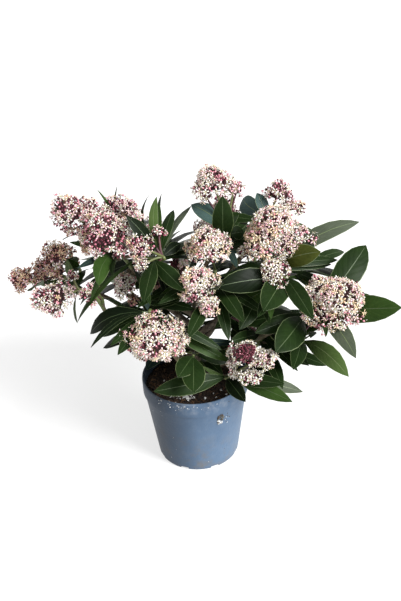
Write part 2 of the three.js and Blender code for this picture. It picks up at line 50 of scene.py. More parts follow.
cameraView = {
    "target": (11.5, 0, 215.5),
    "distance": 1150,
    "elevation": 31.5,
    "roll": -3.0,
    "lens": 58.94,
}


def lookAlong(direction):
    # The turn of a camera or lamp that looks along a direction
    return direction.to_track_quat("-Z", "Y").to_matrix().to_4x4()


def makeCamera():
    tilt = math.radians(cameraView["elevation"])
    away = Vector((0, -math.cos(tilt), math.sin(tilt)))
    place = Vector(cameraView["target"]) * mm + away * cameraView["distance"] * mm
    roll = Matrix.Rotation(math.radians(cameraView["roll"]), 4, "Z")
    camera = bpy.data.objects.new("camera", bpy.data.cameras.new("camera"))
    camera.matrix_world = Matrix.Translation(place) @ lookAlong(-away) @ roll
    camera.data.lens = cameraView["lens"]
    bpy.context.collection.objects.link(camera)
    bpy.context.scene.camera = camera


makeCamera()
print("camera placed")


# Shader nodes. A node's inputs are given as plain values or as sockets to link.
def fill(tree, node, inputs):
    for label, value in inputs.items():
        socket = node.inputs[label]
        if isinstance(value, bpy.types.NodeSocket):
            tree.links.new(value, socket)
        else:
            socket.default_value = (*value[:3], 1) if socket.type == "RGBA" else value


def addNode(tree, kind, inputs, **settings):
    node = tree.nodes.new("ShaderNode" + kind)
    for key, value in settings.items():
        setattr(node, key, value)
    fill(tree, node, inputs)
    return node.outputs


def calc(tree, operation, first, second=0):
    return addNode(tree, "Math", {0: first, 1: second}, operation=operation)[0]


def remap(tree, value, fromMin, fromMax, toMin=0, toMax=1, **settings):
    span = {"Value": value, "From Min": fromMin, "From Max": fromMax, "To Min": toMin, "To Max": toMax}
    return addNode(tree, "MapRange", span, **settings)[0]


def mix(tree, factor, first, second):
    return addNode(tree, "Mix", {"Factor": factor, 6: first, 7: second}, data_type="RGBA")[2]


def grainy(tree, place, scale, detail, roughness):
    inputs = {"Vector": place, "Scale": scale, "Detail": detail, "Roughness": roughness}
    return addNode(tree, "TexNoise", inputs)[0]


def useGroup(tree, group, **inputs):
    return addNode(tree, "Group", inputs, node_tree=group)


# Shader groups. Each is built once and placed in every material that needs it.
def newGroup(name, inputs, outputs):
    group = bpy.data.node_groups.new(name, "ShaderNodeTree")
    for label, value in inputs.items():
        kind = "Vector" if value is None else "Color" if isinstance(value, tuple) else "Float"
        socket = group.interface.new_socket(label, in_out="INPUT", socket_type="NodeSocket" + kind)
        if value is not None:
            socket.default_value = value
    for label, kind in outputs.items():
        group.interface.new_socket(label, in_out="OUTPUT", socket_type="NodeSocket" + kind)
    return group, group.nodes.new("NodeGroupInput").outputs, group.nodes.new("NodeGroupOutput")


def makeTwoTone():
    # Blends two colours by soft noise
    inputs = {"Vector": None, "First": (0.5, 0.5, 0.5, 1), "Second": (0.4, 0.4, 0.4, 1), "Scale": 60.0,
              "Sharpness": 0.3}
    group, given, result = newGroup("twoTone", inputs, {"Colour": "Color", "Mask": "Float"})
    low = calc(group, "MULTIPLY", 0.5, given["Sharpness"])
    start, end = calc(group, "ADD", low, 0.22), calc(group, "SUBTRACT", 0.78, low)
    mask = remap(group, grainy(group, given["Vector"], given["Scale"], 4, 0.6), start, end)
    fill(group, result, {"Colour": mix(group, mask, given["First"], given["Second"]), "Mask": mask})
    return group


def makeRelief():
    # A fine uneven surface from noise
    inputs = {"Vector": None, "Scale": 400.0, "Depth": 0.0003}
    group, given, result = newGroup("relief", inputs, {"Normal": "Vector"})
    grain = grainy(group, given["Vector"], given["Scale"], 3, 0.55)
    bump = addNode(group, "Bump", {"Height": grain, "Distance": given["Depth"]})
    fill(group, result, {"Normal": bump[0]})
    return group


def makeVeins():
    # Side veins that run out and forward from a midrib at U = 0.5
    inputs = {"UV": None, "Count": 9.0, "Slant": 0.55}
    group, given, result = newGroup("veins", inputs, {"Height": "Float", "Mask": "Float"})
    across, along, _ = addNode(group, "SeparateXYZ", {0: given["UV"]})
    off = calc(group, "ABSOLUTE", calc(group, "SUBTRACT", across, 0.5))
    slanted = calc(group, "SUBTRACT", along, calc(group, "MULTIPLY", off, given["Slant"]))
    wave = calc(group, "PINGPONG", calc(group, "MULTIPLY", slanted, given["Count"]), 1)
    ridge = remap(group, wave, 0, 0.16, 1, 0, interpolation_type="SMOOTHSTEP")
    fill(group, result, {"Mask": ridge, "Height": wave})
    return group


def makeDusting():
    # Pale or earthy dust that settles in patches and specks
    inputs = {"Vector": None, "Colour": (0.5, 0.5, 0.5, 1), "Dust": (0.4, 0.38, 0.34, 1), "Scale": 45.0,
              "Amount": 0.4}
    group, given, result = newGroup("dusting", inputs, {"Colour": "Color", "Mask": "Float"})
    patches = grainy(group, given["Vector"], given["Scale"], 8, 0.68)
    specks = addNode(group, "TexVoronoi", {"Vector": given["Vector"], "Scale": 420, "Randomness": 1})
    spots = remap(group, specks["Distance"], 0.12, 0.2, 1, 0)
    speckled = calc(group, "MULTIPLY", spots, remap(group, patches, 0.55, 0.62))
    both = calc(group, "MAXIMUM", remap(group, patches, 0.48, 0.72), speckled)
    amount = calc(group, "MULTIPLY", both, given["Amount"])
    fill(group, result, {"Colour": mix(group, amount, given["Colour"], given["Dust"]), "Mask": amount})
    return group


twoTone = makeTwoTone()
relief = makeRelief()
veins = makeVeins()
dusting = makeDusting()


def newMaterial(name, roughness, **sockets):
    material = bpy.data.materials.new(name)
    material.use_nodes = True
    tree = material.node_tree
    shader = tree.nodes["Principled BSDF"]
    named = {label.replace("_", " "): value for label, value in sockets.items()}
    fill(tree, shader, {"Roughness": roughness, **named})
    return material, tree, shader, addNode(tree, "TexCoord", {})


def makeFinish(name, first, second, roughness, scale=90, depth=0.0002, grain=500, **sockets):
    # A plain organic finish: two near colours in soft patches over a fine relief
    material, tree, shader, given = newMaterial(name, roughness, **sockets)
    tone = useGroup(tree, twoTone, Vector=given["Object"], First=first, Second=second, Scale=scale)
    uneven = useGroup(tree, relief, Vector=given["Object"], Scale=grain, Depth=depth)
    fill(tree, shader, {"Base Color": tone["Colour"], "Normal": uneven["Normal"]})
    return material


def makeLeafFinish(name, first, second, roughness):
    # The upper side of a blade: satin, a little paler along the side veins, which are pressed in
    material, tree, shader, given = newMaterial(
        name, roughness, Coat_Weight=0.010, Coat_Roughness=0.28, Specular_IOR_Level=0.055)
    tone = useGroup(
        tree, twoTone, Vector=given["Object"], First=first, Second=second, Scale=55, Sharpness=0.1)
    vein = useGroup(tree, veins, UV=given["UV"], Count=16)
    paler = tuple(min(1, 1.8 * part + 0.01) for part in second)
    colour = mix(tree, calc(tree, "MULTIPLY", vein["Mask"], 0.2), tone["Colour"], paler)
    pressed = addNode(tree, "Bump", {"Height": vein["Height"], "Distance": 0.00022, "Strength": 0.4})
    fill(tree, shader, {"Base Color": colour, "Normal": pressed[0]})
    return material


def makeFinishes(maker, *rows, **options):
    # Finishes by name, from rows of a name, two colours, a roughness and at times a scale and a depth
    return {name: maker(name, *row, **options) for name, *row in rows}


leafFinishes = makeFinishes(
    makeFinish,
    ("leafMargin", (0.112, 0.148, 0.058), (0.064, 0.090, 0.032), 0.5),
    ("leafRib", (0.030, 0.055, 0.015), (0.046, 0.074, 0.022), 0.5),
    ("leafMarginPale", (0.20, 0.25, 0.12), (0.14, 0.18, 0.08), 0.5),
    ("leafRibPale", (0.105, 0.145, 0.055), (0.135, 0.175, 0.072), 0.5),
    ("leafUnder", (0.045, 0.073, 0.027), (0.066, 0.098, 0.038), 0.6),
) | makeFinishes(
    makeLeafFinish,
    ("leafDark", (0.0070, 0.0160, 0.0038), (0.0125, 0.0265, 0.0062), 0.42),
    ("leafMid", (0.0165, 0.0370, 0.0072), (0.028, 0.057, 0.0112), 0.44),
    # leafBlue is partly painted sheen: a bluish colour that stands in for the sky's reflection on
    # glossy leaves
    ("leafBlue", (0.0105, 0.0215, 0.0195), (0.019, 0.035, 0.031), 0.38),
    ("leafLight", (0.044, 0.076, 0.021), (0.066, 0.106, 0.031), 0.45),
    ("leafOlive", (0.052, 0.066, 0.012), (0.076, 0.092, 0.017), 0.45),
    ("leafDeep", (0.0026, 0.0058, 0.0020), (0.0050, 0.0100, 0.0032), 0.44),
    ("leafPale", (0.050, 0.064, 0.041), (0.074, 0.090, 0.060), 0.5),
    # leafSteel is painted sheen: a pale blue-grey colour that stands in for the sky's reflection on
    # glossy leaves
    ("leafSteel", (0.042, 0.078, 0.070), (0.072, 0.116, 0.106), 0.42),
)
petalFinishes = makeFinishes(
    makeFinish,
    ("petalCream", (0.95, 0.91, 0.85), (0.93, 0.88, 0.81), 0.5),
    ("petalBlush", (0.87, 0.55, 0.59), (0.93, 0.73, 0.74), 0.5),
    ("petalPeach", (0.92, 0.62, 0.40), (0.94, 0.76, 0.55), 0.5),
    ("petalTan", (0.58, 0.33, 0.23), (0.72, 0.48, 0.36), 0.6),
    depth=0.0001,
)
heartFinishes = makeFinishes(
    makeFinish,
    ("anther", (0.82, 0.66, 0.36), (0.88, 0.76, 0.50), 0.6),
    ("filament", (0.85, 0.80, 0.66), (0.80, 0.72, 0.56), 0.5),
    ("flowerHeart", (0.42, 0.48, 0.16), (0.52, 0.52, 0.22), 0.5),
    ("antherTan", (0.42, 0.26, 0.12), (0.52, 0.34, 0.18), 0.7),
)
budFinishes = makeFinishes(
    makeFinish,
    ("budPink", (0.50, 0.15, 0.21), (0.68, 0.32, 0.37), 0.45),
    ("budPale", (0.82, 0.50, 0.53), (0.87, 0.66, 0.65), 0.45),
    ("budCrimson", (0.090, 0.012, 0.024), (0.16, 0.026, 0.045), 0.45),
    ("budTan", (0.38, 0.17, 0.13), (0.52, 0.28, 0.20), 0.6),
)
stalkFinishes = makeFinishes(
    makeFinish,
    ("stalkDark", (0.050, 0.012, 0.018), (0.085, 0.024, 0.028), 0.55),
    ("stalkGreen", (0.095, 0.115, 0.038), (0.14, 0.15, 0.055), 0.5),
    ("stemYoung", (0.095, 0.13, 0.036), (0.13, 0.15, 0.05), 0.5, 90, 0.0004),
    ("stemOld", (0.085, 0.060, 0.034), (0.125, 0.092, 0.055), 0.75, 90, 0.0006),
    ("headShade", (0.035, 0.010, 0.014), (0.065, 0.022, 0.024), 0.8),
)
print("leaf and flower finishes ready")


# Mesh helpers
def deselectAll():
    if bpy.context.object and bpy.context.object.mode != "OBJECT":
        bpy.ops.object.mode_set(mode="OBJECT")
    bpy.ops.object.select_all(action="DESELECT")


def selectOnly(piece):
    deselectAll()
    piece.select_set(True)
    bpy.context.view_layer.objects.active = piece


def applyPlace(piece):
    # Puts a finished piece's place into its mesh
    selectOnly(piece)
    bpy.ops.object.transform_apply(location=True, rotation=True, scale=True)
    piece.select_set(False)


def applyModifier(piece, kind, **settings):
    modifier = piece.modifiers.new(kind.lower(), kind)
    for key, value in settings.items():
        setattr(modifier, key, value)
    bpy.context.view_layer.objects.active = piece
    bpy.ops.object.modifier_apply(modifier=modifier.name)


def newBatch():
    return {"points": [], "faces": [], "slots": [], "uvs": [], "count": 0}


def shifted(faces, base):
    # Faces whose corners count from a later point on
    return [tuple(base + k for k in face) for face in faces]


def addShape(batch, points, faces, slots, uvs=None):
    batch["points"].append(np.asarray(points, float))
    batch["faces"] += shifted(faces, batch["count"])
    batch["slots"].extend(slots)
    batch["uvs"].append(np.zeros((len(points), 2)) if uvs is None else np.asarray(uvs, float))
    batch["count"] += len(points)


def addCopies(batch, shape, places, slotMap):
    # Joins copies of a small shape, each at its own 3 by 4 place
    points, places = np.asarray(shape["points"], float), np.array(places)
    turned = np.einsum("nij,pj->npi", places[:, :, :3], points) + places[:, None, :, 3]
    bases = range(0, len(points) * len(places), len(points))
    faces = [face for base in bases for face in shifted(shape["faces"], base)]
    slots = [slotMap[slot] for slot in shape["slots"]] * len(places)
    addShape(batch, turned.reshape(-1, 3), faces, slots)


def makeObject(name, batch, finishes, smooth=True):
    mesh = bpy.data.meshes.new(name)
    points = np.concatenate(batch["points"]) * mm
    mesh.from_pydata(points.tolist(), [], batch["faces"])
    mesh.polygons.foreach_set("material_index", batch["slots"])
    mesh.polygons.foreach_set("use_smooth", [smooth] * len(batch["faces"]))
    corners = np.zeros(len(mesh.loops), int)
    mesh.loops.foreach_get("vertex_index", corners)
    layer = mesh.uv_layers.new(name="UVMap")
    layer.data.foreach_set("uv", np.concatenate(batch["uvs"])[corners].ravel())
    for finish in finishes:
        mesh.materials.append(finish)
    piece = bpy.data.objects.new(name, mesh)
    bpy.context.collection.objects.link(piece)
    print(f"{name}: {sum(len(face) - 2 for face in batch['faces'])} triangles")
    return piece


def tube(batch, line, radii, sides, slots, relief=None):
    # A closed tube along a line of points, with a radius and a slot for each ring
    line = [Vector(point) for point in line]
    last = len(line) - 1
    rings = []
    side = None
    for i, point in enumerate(line):
        along = (line[min(i + 1, last)] - line[max(i - 1, 0)]).normalized()
        if side is None:
            side = along.orthogonal().normalized()
        side = (side - along * side.dot(along)).normalized()
        other = along.cross(side)
        for k in range(sides):
            turn = fullTurn * k / sides
            radius = radii[i] + (relief(i, k) if relief else 0)
            rings.append(point + side * math.cos(turn) * radius + other * math.sin(turn) * radius)
    faces, faceSlots = [], []
    for i in range(last):
        near, far = i * sides, (i + 1) * sides
        for k in range(sides):
            after = (k + 1) % sides
            faces.append((near + k, near + after, far + after, far + k))
            faceSlots.append(slots[i])
    faces.append(tuple(reversed(range(sides))))
    faces.append(tuple(last * sides + k for k in range(sides)))
    addShape(batch, rings, faces, faceSlots + [slots[0], slots[last]])


potShape = {
    "facets": 144,
    # radius and height of each ring: up the outside, over the rim and down the inside
    "rings": [
        (49.2, 0.5), (50.0, 1.6), (50.5, 4.5), (56.4, 47.0), (62.6, 91.2), (63.0, 92.4), (64.2, 92.8),
        (64.6, 93.8), (64.75, 100.0), (64.9, 110.2), (64.7, 111.8), (64.0, 112.9), (63.0, 112.8),
        (62.5, 111.8), (62.3, 109.5), (61.2, 92.0), (49.9, 4.5), (48.6, 2.4),
    ],
    "outerRings": 10,
    "footRadius": 48.6,
    "slots": 8,
    "slotSize": (7, 11, 7),
    "slotRadius": 50,
    "slotBevel": 0.8,
    "smoothBelow": 32,
}
# Ranges are metres, from where a layer starts to where it is fullest, then its strengths at both
potLooks = {
    "blues": {"First": (0.074, 0.118, 0.186), "Second": (0.091, 0.141, 0.214), "Scale": 14},
    "earth": {"Dust": (0.135, 0.125, 0.112), "Scale": 62},
    "earthLow": (0.070, 0, 0, 1.5),
    "earthLeft": (0.05, -0.030, 0.35, 1),
    "chalk": {"Dust": (0.42, 0.43, 0.44), "Scale": 95},
    "chalkHigh": (0.094, 0.113, 0.05, 0.5),
    # Painted shade: a near-black colour laid over the pot's -X side, away from the sun, then the range
    # where it sets in
    "paintedShade": (0.0175, 0.0192, 0.022),
    "paintedShadeLeft": (0, -0.044, 0, 0.72),
    "roughness": (0, 0.5, 0.42, 0.8),  # from bare to dusty plastic
    "grain": {"Scale": 260, "Depth": 0.00025},
}


def makePotFinish():
    # Slate plastic with earth near the foot, chalky dust at the rim and painted shade, a dark coat of
    # colour, on its -X side
    material, tree, shader, given = newMaterial("potPlastic", 0.6, Specular_IOR_Level=0.12)
    place = given["Object"]
    across, _, height = addNode(tree, "SeparateXYZ", {0: place})
    tone = useGroup(tree, twoTone, Vector=place, **potLooks["blues"])
    low, left = remap(tree, height, *potLooks["earthLow"]), remap(tree, across, *potLooks["earthLeft"])
    earth = calc(tree, "MULTIPLY", low, left)
    soiled = useGroup(
        tree, dusting, Vector=place, Colour=tone["Colour"], Amount=earth, **potLooks["earth"])
    chalk = remap(tree, height, *potLooks["chalkHigh"])
    dusted = useGroup(
        tree, dusting, Vector=place, Colour=soiled["Colour"], Amount=chalk, **potLooks["chalk"])
    # Painted shade: the colour darkens towards -X, where the pot lies in shade
    paintedShadeColour = mix(tree, remap(tree, across, *potLooks["paintedShadeLeft"]), dusted["Colour"], potLooks["paintedShade"])
    rough = remap(tree, dusted["Mask"], *potLooks["roughness"])
    grain = useGroup(tree, relief, Vector=place, **potLooks["grain"])
    fill(tree, shader, {"Base Color": paintedShadeColour, "Roughness": rough, "Normal": grain["Normal"]})
    return material


def cutSlots(pot):
    # Drain slots round the foot
    for i in range(potShape["slots"]):
        turn = (i + 0.5) / potShape["slots"] * fullTurn
        x, y = (wave(turn) * potShape["slotRadius"] * mm for wave in (math.cos, math.sin))
        deselectAll()
        bpy.ops.mesh.primitive_cube_add(
            size=1, location=(x, y, 0), rotation=(0, 0, turn),
            scale=tuple(size * mm for size in potShape["slotSize"]))
        cutter = bpy.context.object
        applyModifier(cutter, "BEVEL", width=potShape["slotBevel"] * mm, segments=2)
        applyModifier(pot, "BOOLEAN", operation="DIFFERENCE", object=cutter, solver="EXACT")
        bpy.data.objects.remove(cutter)


def makePot():
    # Ring after ring is extruded up the wall, over the rim and down inside
    deselectAll()
    bpy.ops.mesh.primitive_circle_add(
        vertices=potShape["facets"], radius=potShape["footRadius"] * mm, fill_type="NOTHING")
    pot = bpy.context.object
    pot.name = "potShell"
    bpy.ops.object.mode_set(mode="EDIT")
    bpy.ops.mesh.select_mode(type="VERT")
    bpy.ops.mesh.select_all(action="SELECT")
    radius, height = potShape["footRadius"], 0
    for nextRadius, nextHeight in potShape["rings"]:
        bpy.ops.mesh.extrude_region_move(
            TRANSFORM_OT_translate={"value": (0, 0, (nextHeight - height) * mm)})
        share = nextRadius / radius
        bpy.ops.transform.resize(value=(share, share, 1), center_override=(0, 0, 0))
        radius, height = nextRadius, nextHeight
    bpy.ops.mesh.edge_face_add()
    bpy.ops.object.mode_set(mode="OBJECT")
    for vertex in pot.data.vertices:
        vertex.select = vertex.co.z < 0.2 * mm  # the foot's own ring
    bpy.ops.object.mode_set(mode="EDIT")
    bpy.ops.mesh.edge_face_add()
    bpy.ops.mesh.select_all(action="SELECT")
    bpy.ops.mesh.normals_make_consistent(inside=False)
    bpy.ops.object.mode_set(mode="OBJECT")
    cutSlots(pot)
    selectOnly(pot)
    bpy.ops.object.shade_smooth_by_angle(angle=math.radians(potShape["smoothBelow"]))
    pot.data.materials.clear()
    pot.data.materials.append(makePotFinish())
    applyPlace(pot)
    return pot


pot = makePot()
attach(pot, "root")
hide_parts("pot")
print("pot shaped")

compostShape = {
    "radius": 61.1,
    "bottom": 88,
    "level": 99.4,
    "facets": 120,
    "insets": 27,
    "insetWidth": 2.2,
    "clods": (2.4, 0.055, 3.1),  # height, scale and seed of the noise
    "crumbs": (1.1, 0.33, 7.7),
    "dip": (2.2, 0.8, 0.2),  # depth at the wall, then its start and width as shares of the radius
    "finish": ((0.012, 0.007, 0.005), (0.035, 0.020, 0.012), 0.95, 160, 0.0018, 320),
}


def compostHeight(x, y):
    # Height of the compost's surface over a point: clods, finer crumbs and a dip at the wall
    clod, crumb = (
        height * noise.noise(Vector((x * scale, y * scale, seed)))
        for height, scale, seed in (compostShape["clods"], compostShape["crumbs"]))
    depth, start, width = compostShape["dip"]
    share = math.hypot(x, y) / compostShape["radius"]
    return compostShape["level"] + clod + crumb - depth * max(0, share - start) / width


def makeCompost():
    deselectAll()
    depth = compostShape["level"] - compostShape["bottom"]
    bpy.ops.mesh.primitive_cylinder_add(
        vertices=compostShape["facets"], radius=compostShape["radius"] * mm, depth=depth * mm,
        location=(0, 0, (compostShape["bottom"] + depth / 2) * mm))
    compost = bpy.context.object
    compost.name = "compostBody"
    applyPlace(compost)
    bpy.ops.object.mode_set(mode="EDIT")
    bpy.ops.mesh.select_mode(type="FACE")
    bpy.ops.mesh.select_all(action="DESELECT")
    bpy.ops.object.mode_set(mode="OBJECT")
    for face in compost.data.polygons:
        face.select = face.normal.z > 0.9
    bpy.ops.object.mode_set(mode="EDIT")
    for _ in range(compostShape["insets"]):
        bpy.ops.mesh.inset(thickness=compostShape["insetWidth"] * mm)
    bpy.ops.mesh.poke()
    bpy.ops.object.mode_set(mode="OBJECT")
    for vertex in compost.data.vertices:
        if vertex.co.z > (compostShape["level"] - 1) * mm:
            vertex.co.z = compostHeight(vertex.co.x / mm, vertex.co.y / mm) * mm
    selectOnly(compost)
    bpy.ops.object.shade_smooth()
    compost.data.materials.clear()
    compost.data.materials.append(makeFinish("compostDark", *compostShape["finish"]))
    applyPlace(compost)
    return compost


compost = makeCompost()
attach(compost, "root")
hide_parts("compost")

litterShape = {
    "chips": 1900,
    "chipLength": (1.6, 7.5),
    "chipWidth": (0.2, 0.5),
    "chipHeight": (0.12, 0.3),
    "chipLift": (-0.2, 0.9),
    "chipLean": 0.6,
    "perlite": 50,
    "perliteSize": (0.7, 1.9),
    "perliteLift": 0.4,
    "heaps": ((-8, -33, 6.5, 4.5, 46), (-24, -31, 7, 4, 14)),  # place, spread and number of grains
    "heapLift": 0.5,
    "heapScale": 0.7,
    "pebbles": (((-22, -50, 100.3), 0.2, (5.4, 3.4, 3.0)), ((-33, -40, 100.0), 0.4, (2.6, 2.0, 1.7))),
    "trunkClear": 9,
    "edge": 0.94,
    "grain": (4, 0.7),  # seed and unevenness
    "pebble": (9, 0.45, 3),
}


def placeAt(point, turn, scale):
    # A 3 by 4 place from a point, a rotation and one scale or three
    made = np.zeros((3, 4))
    made[:, :3] = np.array(turn) @ np.diag(np.full(3, scale, float))
    made[:, 3] = point
    return made


def randomTurn(lean=math.pi):
    # Any turn about Z, tipped over by up to the lean
    spin = Matrix.Rotation(random.uniform(0, fullTurn), 3, "Z")
    tip = Matrix.Rotation(random.uniform(-lean, lean), 3, "X")
    return Matrix.Rotation(random.uniform(0, fullTurn), 3, "Z") @ tip @ spin


def roughChip():
    # A wedge-ended splinter one unit long
    points = [
        (-0.5, -0.42, -0.5), (0.5, -0.2, -0.3), (0.42, 0.3, -0.5), (-0.44, 0.5, -0.4),
        (-0.42, -0.3, 0.4), (0.46, -0.25, 0.35), (0.36, 0.26, 0.5), (-0.5, 0.34, 0.35),
    ]
    faces = [(3, 2, 1, 0), (4, 5, 6, 7), (0, 1, 5, 4), (1, 2, 6, 5), (2, 3, 7, 6), (3, 0, 4, 7)]
    return {"points": points, "faces": faces, "slots": [0] * len(faces)}


def roughBall(seed, unevenness, level=1):
    # A lumpy ball one unit in radius
    deselectAll()
    bpy.ops.mesh.primitive_ico_sphere_add(subdivisions=level, radius=1)
    ball = bpy.context.object
    points = []
    for vertex in ball.data.vertices:
        lump = noise.noise(vertex.co * 1.7 + Vector((seed, seed * 2, 0)))
        points.append(tuple(vertex.co * (1 + unevenness * lump)))
    faces = [tuple(face.vertices) for face in ball.data.polygons]
    bpy.data.objects.remove(ball)
    return {"points": points, "faces": faces, "slots": [0] * len(faces)}


def onCompost():
    # A random point between the trunk and the wall
    clear = litterShape["trunkClear"] / compostShape["radius"]
    share = math.sqrt(random.uniform(clear ** 2, litterShape["edge"]))
    turn = random.uniform(0, fullTurn)
    return tuple(wave(turn) * share * compostShape["radius"] for wave in (math.cos, math.sin))


def makeLitter():
    batch = newBatch()
    chips, grains = [[], [], []], []
    for i in range(litterShape["chips"]):
        x, y = onCompost()
        length = random.uniform(*litterShape["chipLength"]) * random.uniform(0.5, 1)
        size = (length, length * random.uniform(*litterShape["chipWidth"]),
                length * random.uniform(*litterShape["chipHeight"]))
        lift = compostHeight(x, y) + random.uniform(*litterShape["chipLift"])
        chips[i % 3].append(placeAt((x, y, lift), randomTurn(litterShape["chipLean"]), size))
    for kind, places in enumerate(chips):
        addCopies(batch, roughChip(), places, [kind])
    for _ in range(litterShape["perlite"]):
        x, y = onCompost()
        size = random.uniform(*litterShape["perliteSize"])
        lift = compostHeight(x, y) + size * litterShape["perliteLift"]
        grains.append(placeAt((x, y, lift), randomTurn(), size))
    for x, y, wide, deep, count in litterShape["heaps"]:
        for _ in range(count):
            at = (random.gauss(x, wide / 2), random.gauss(y, deep / 2))
            size = random.uniform(*litterShape["perliteSize"]) * litterShape["heapScale"]
            lift = compostHeight(*at) + size * litterShape["heapLift"]
            grains.append(placeAt((*at, lift), randomTurn(), size))
    addCopies(batch, roughBall(*litterShape["grain"]), grains, [3])
    pebble = roughBall(*litterShape["pebble"])
    for point, lean, size in litterShape["pebbles"]:
        addCopies(batch, pebble, [placeAt(point, randomTurn(lean), size)], [4])
    finishes = makeFinishes(
        makeFinish,
        ("chipBlack", (0.010, 0.006, 0.005), (0.022, 0.013, 0.009), 0.9),
        ("chipBrown", (0.060, 0.030, 0.014), (0.11, 0.055, 0.024), 0.85),
        ("chipDark", (0.026, 0.014, 0.009), (0.050, 0.027, 0.015), 0.9),
        ("perlite", (0.72, 0.72, 0.70), (0.60, 0.60, 0.60), 0.85, 90, 0.0006),
        ("pebble", (0.26, 0.23, 0.235), (0.38, 0.34, 0.34), 0.7, 260))
    return makeObject("compostLitter", batch, finishes.values(), smooth=False)


litter = makeLitter()
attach(litter, "root")
print("compost laid")

splashShape = {
    "crumbs": 54,
    "crumbTurn": (-0.22, 0.45),  # middle and spread round from the front
    "crumbSize": (0.2, 0.8),
    "crumbFlat": 0.8,
    "wallEvery": 5,  # each fifth crumb sits on the wall and is smaller
    "wallScale": 0.6,
    "darkEvery": 4,
    "rimHeight": 111.5,
    "rimSpread": 4.5,
    "wallHeight": (6, 108),
    "clumpAt": (27, 82),  # degrees round from the front, and height
    "clumpSize": (4.6, 7.4),
    "clumpLumps": 64,
    "lumpSize": (0.7, 1.7),
    "lumpOut": 0.35,
    "greyBelow": 0.2,
    "wallRadius": 62,
    "specks": 16,
    "speckTurn": (8, 3),
    "speckDrop": (-5, 4),
    "speckSize": (0.25, 0.6),
}


def onWall(turn, height):
    # A point on the pot's outside, and the way the wall faces there
    radii, levels = zip(*potShape["rings"][:potShape["outerRings"]])
    out = Vector((math.sin(turn), -math.cos(turn), 0))
    return out * float(np.interp(height, levels, radii)) + up * height, out


def makeSplash():
    # Crumbs of perlite and compost on the rim and the wall, and one clump stuck under the band
    batch = newBatch()
    places = [[], [], []]
    for i in range(splashShape["crumbs"]):
        turn = random.gauss(*splashShape["crumbTurn"])
        onRim = i % splashShape["wallEvery"]
        if onRim:
            height = splashShape["rimHeight"] - abs(random.gauss(0, splashShape["rimSpread"]))
        else:
            height = random.uniform(*splashShape["wallHeight"])
        point, _ = onWall(turn, height)
        size = random.uniform(*splashShape["crumbSize"]) * (1 if onRim else splashShape["wallScale"])
        place = placeAt(point, randomTurn(), (size, size, size * splashShape["crumbFlat"]))
        places[0 if i % splashShape["darkEvery"] else 1].append(place)
    middle, level = splashShape["clumpAt"]
    wide, high = splashShape["clumpSize"]
    for i in range(splashShape["clumpLumps"]):
        across = random.uniform(-1, 1)
        down = random.uniform(-1, 1)
        if across ** 2 + down ** 2 > 1:
            continue
        turn = math.radians(middle) + across * wide / splashShape["wallRadius"]
        point, out = onWall(turn, level - down * high)
        size = random.uniform(*splashShape["lumpSize"])
        kind = 0 if down > splashShape["greyBelow"] and i % splashShape["darkEvery"] else 1 + i % 2
        places[kind].append(placeAt(point + out * size * splashShape["lumpOut"], randomTurn(), size))
    for i in range(splashShape["specks"]):
        turn = math.radians(middle + random.gauss(*splashShape["speckTurn"]))
        point, _ = onWall(turn, level + random.gauss(*splashShape["speckDrop"]))
        size = random.uniform(*splashShape["speckSize"])
        places[i % 2].append(placeAt(point, randomTurn(), size))
    for kind, few in enumerate(places):
        addCopies(batch, roughBall(kind + 2.5, 0.8), few, [kind])
    finishes = makeFinishes(
        makeFinish,
        ("crumbPale", (0.70, 0.71, 0.70), (0.52, 0.53, 0.53), 0.85),
        ("crumbDark", (0.030, 0.022, 0.016), (0.060, 0.045, 0.035), 0.9),
        ("clumpGrey", (0.055, 0.060, 0.055), (0.10, 0.105, 0.10), 0.9))
    return makeObject("potSplash", batch, finishes.values())


splash = makeSplash()
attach(splash, "root")
print("crumbs on the rim")


# The growth rule, from the same named sizes and seeds as the solids
trunkShape = {
    "handles": ((0, 0, 100.3), (0, 0, 148.792), (6, 10, 191.896), (14, 24, 235)),
    "footRadius": 6.5,
    "tipRadius": 3.6,
    "flare": 4.2,
    "flareReach": 0.05,
}
boughShape = {"footShare": 0.78, "tipRadius": 2.9, "sag": 0.07, "sagAt": 0.55}
stemShape = {
    "footRadius": 3,
    "forkRadius": 2.5,
    "tipRadius": 1.6,
    "rings": 6,
    "pull": 0.36,
    "onward": 0.4,
    "massGap": 0.3,
}
stalkShape = {"footRadius": 1.6, "tipRadius": 1.2, "below": 2, "outward": 0.6, "steps": 8, "sides": 8}
leafShape = {
    "length": 82,
    "widthShare": 0.33,
    "stations": ((0.12, 0.12), (0.42, 1), (0.76, 0.78), (1, 0)),
    "arch": 0.07,
    "faceUp": 0.6,
    "cornersIn": 5,  # corners of the leaf that have to lie on its mass, and how near
    "near": 0.2,
}
whorlShape = {
    "firstFork": 0.82,
    "forkStep": 0.16,
    "goldenAngle": 137.5,
    "leaves": 10,
    "opening": 58,
    "openingSpread": 26,
    "belowTip": 1,
    "spacing": 2.2,
    "placedSpacing": 3.2,
    "lowerLeaves": 5,
    "lowerStart": 24,
    "lowerSpacing": 8,
    "lowerOpening": 82,
    "leafyShare": 0.8,
    "lowest": -24,
    "highest": 18,
    "highestSpread": 8,
    "shortest": 0.8,
    "longest": 1.08,
    "apart": 34,
    "shifts": ((0, 0), (12, 0), (-12, 0), (0, 12), (0, 24), (20, 12), (-20, 12), (0, 36)),
}
headShape = {
    "ringLobes": 5,
    "ringSpread": 0.4,
    "ringOut": 0.5,
    "ringRadius": 0.5,
    "ringSink": 0.22,
    "topOut": 0.32,
    "topRadius": 0.6,
    "core": 0.5,
    "unevenness": 0.16,
    "faceUp": 0.3,
}


def shootTo(tip, heads, leaves, **rules):
    # A shoot's tip, its heads as points and radii, and its placed leaves as compass, rise and length
    return {"tip": tip, "heads": heads, "leaves": leaves, **rules}


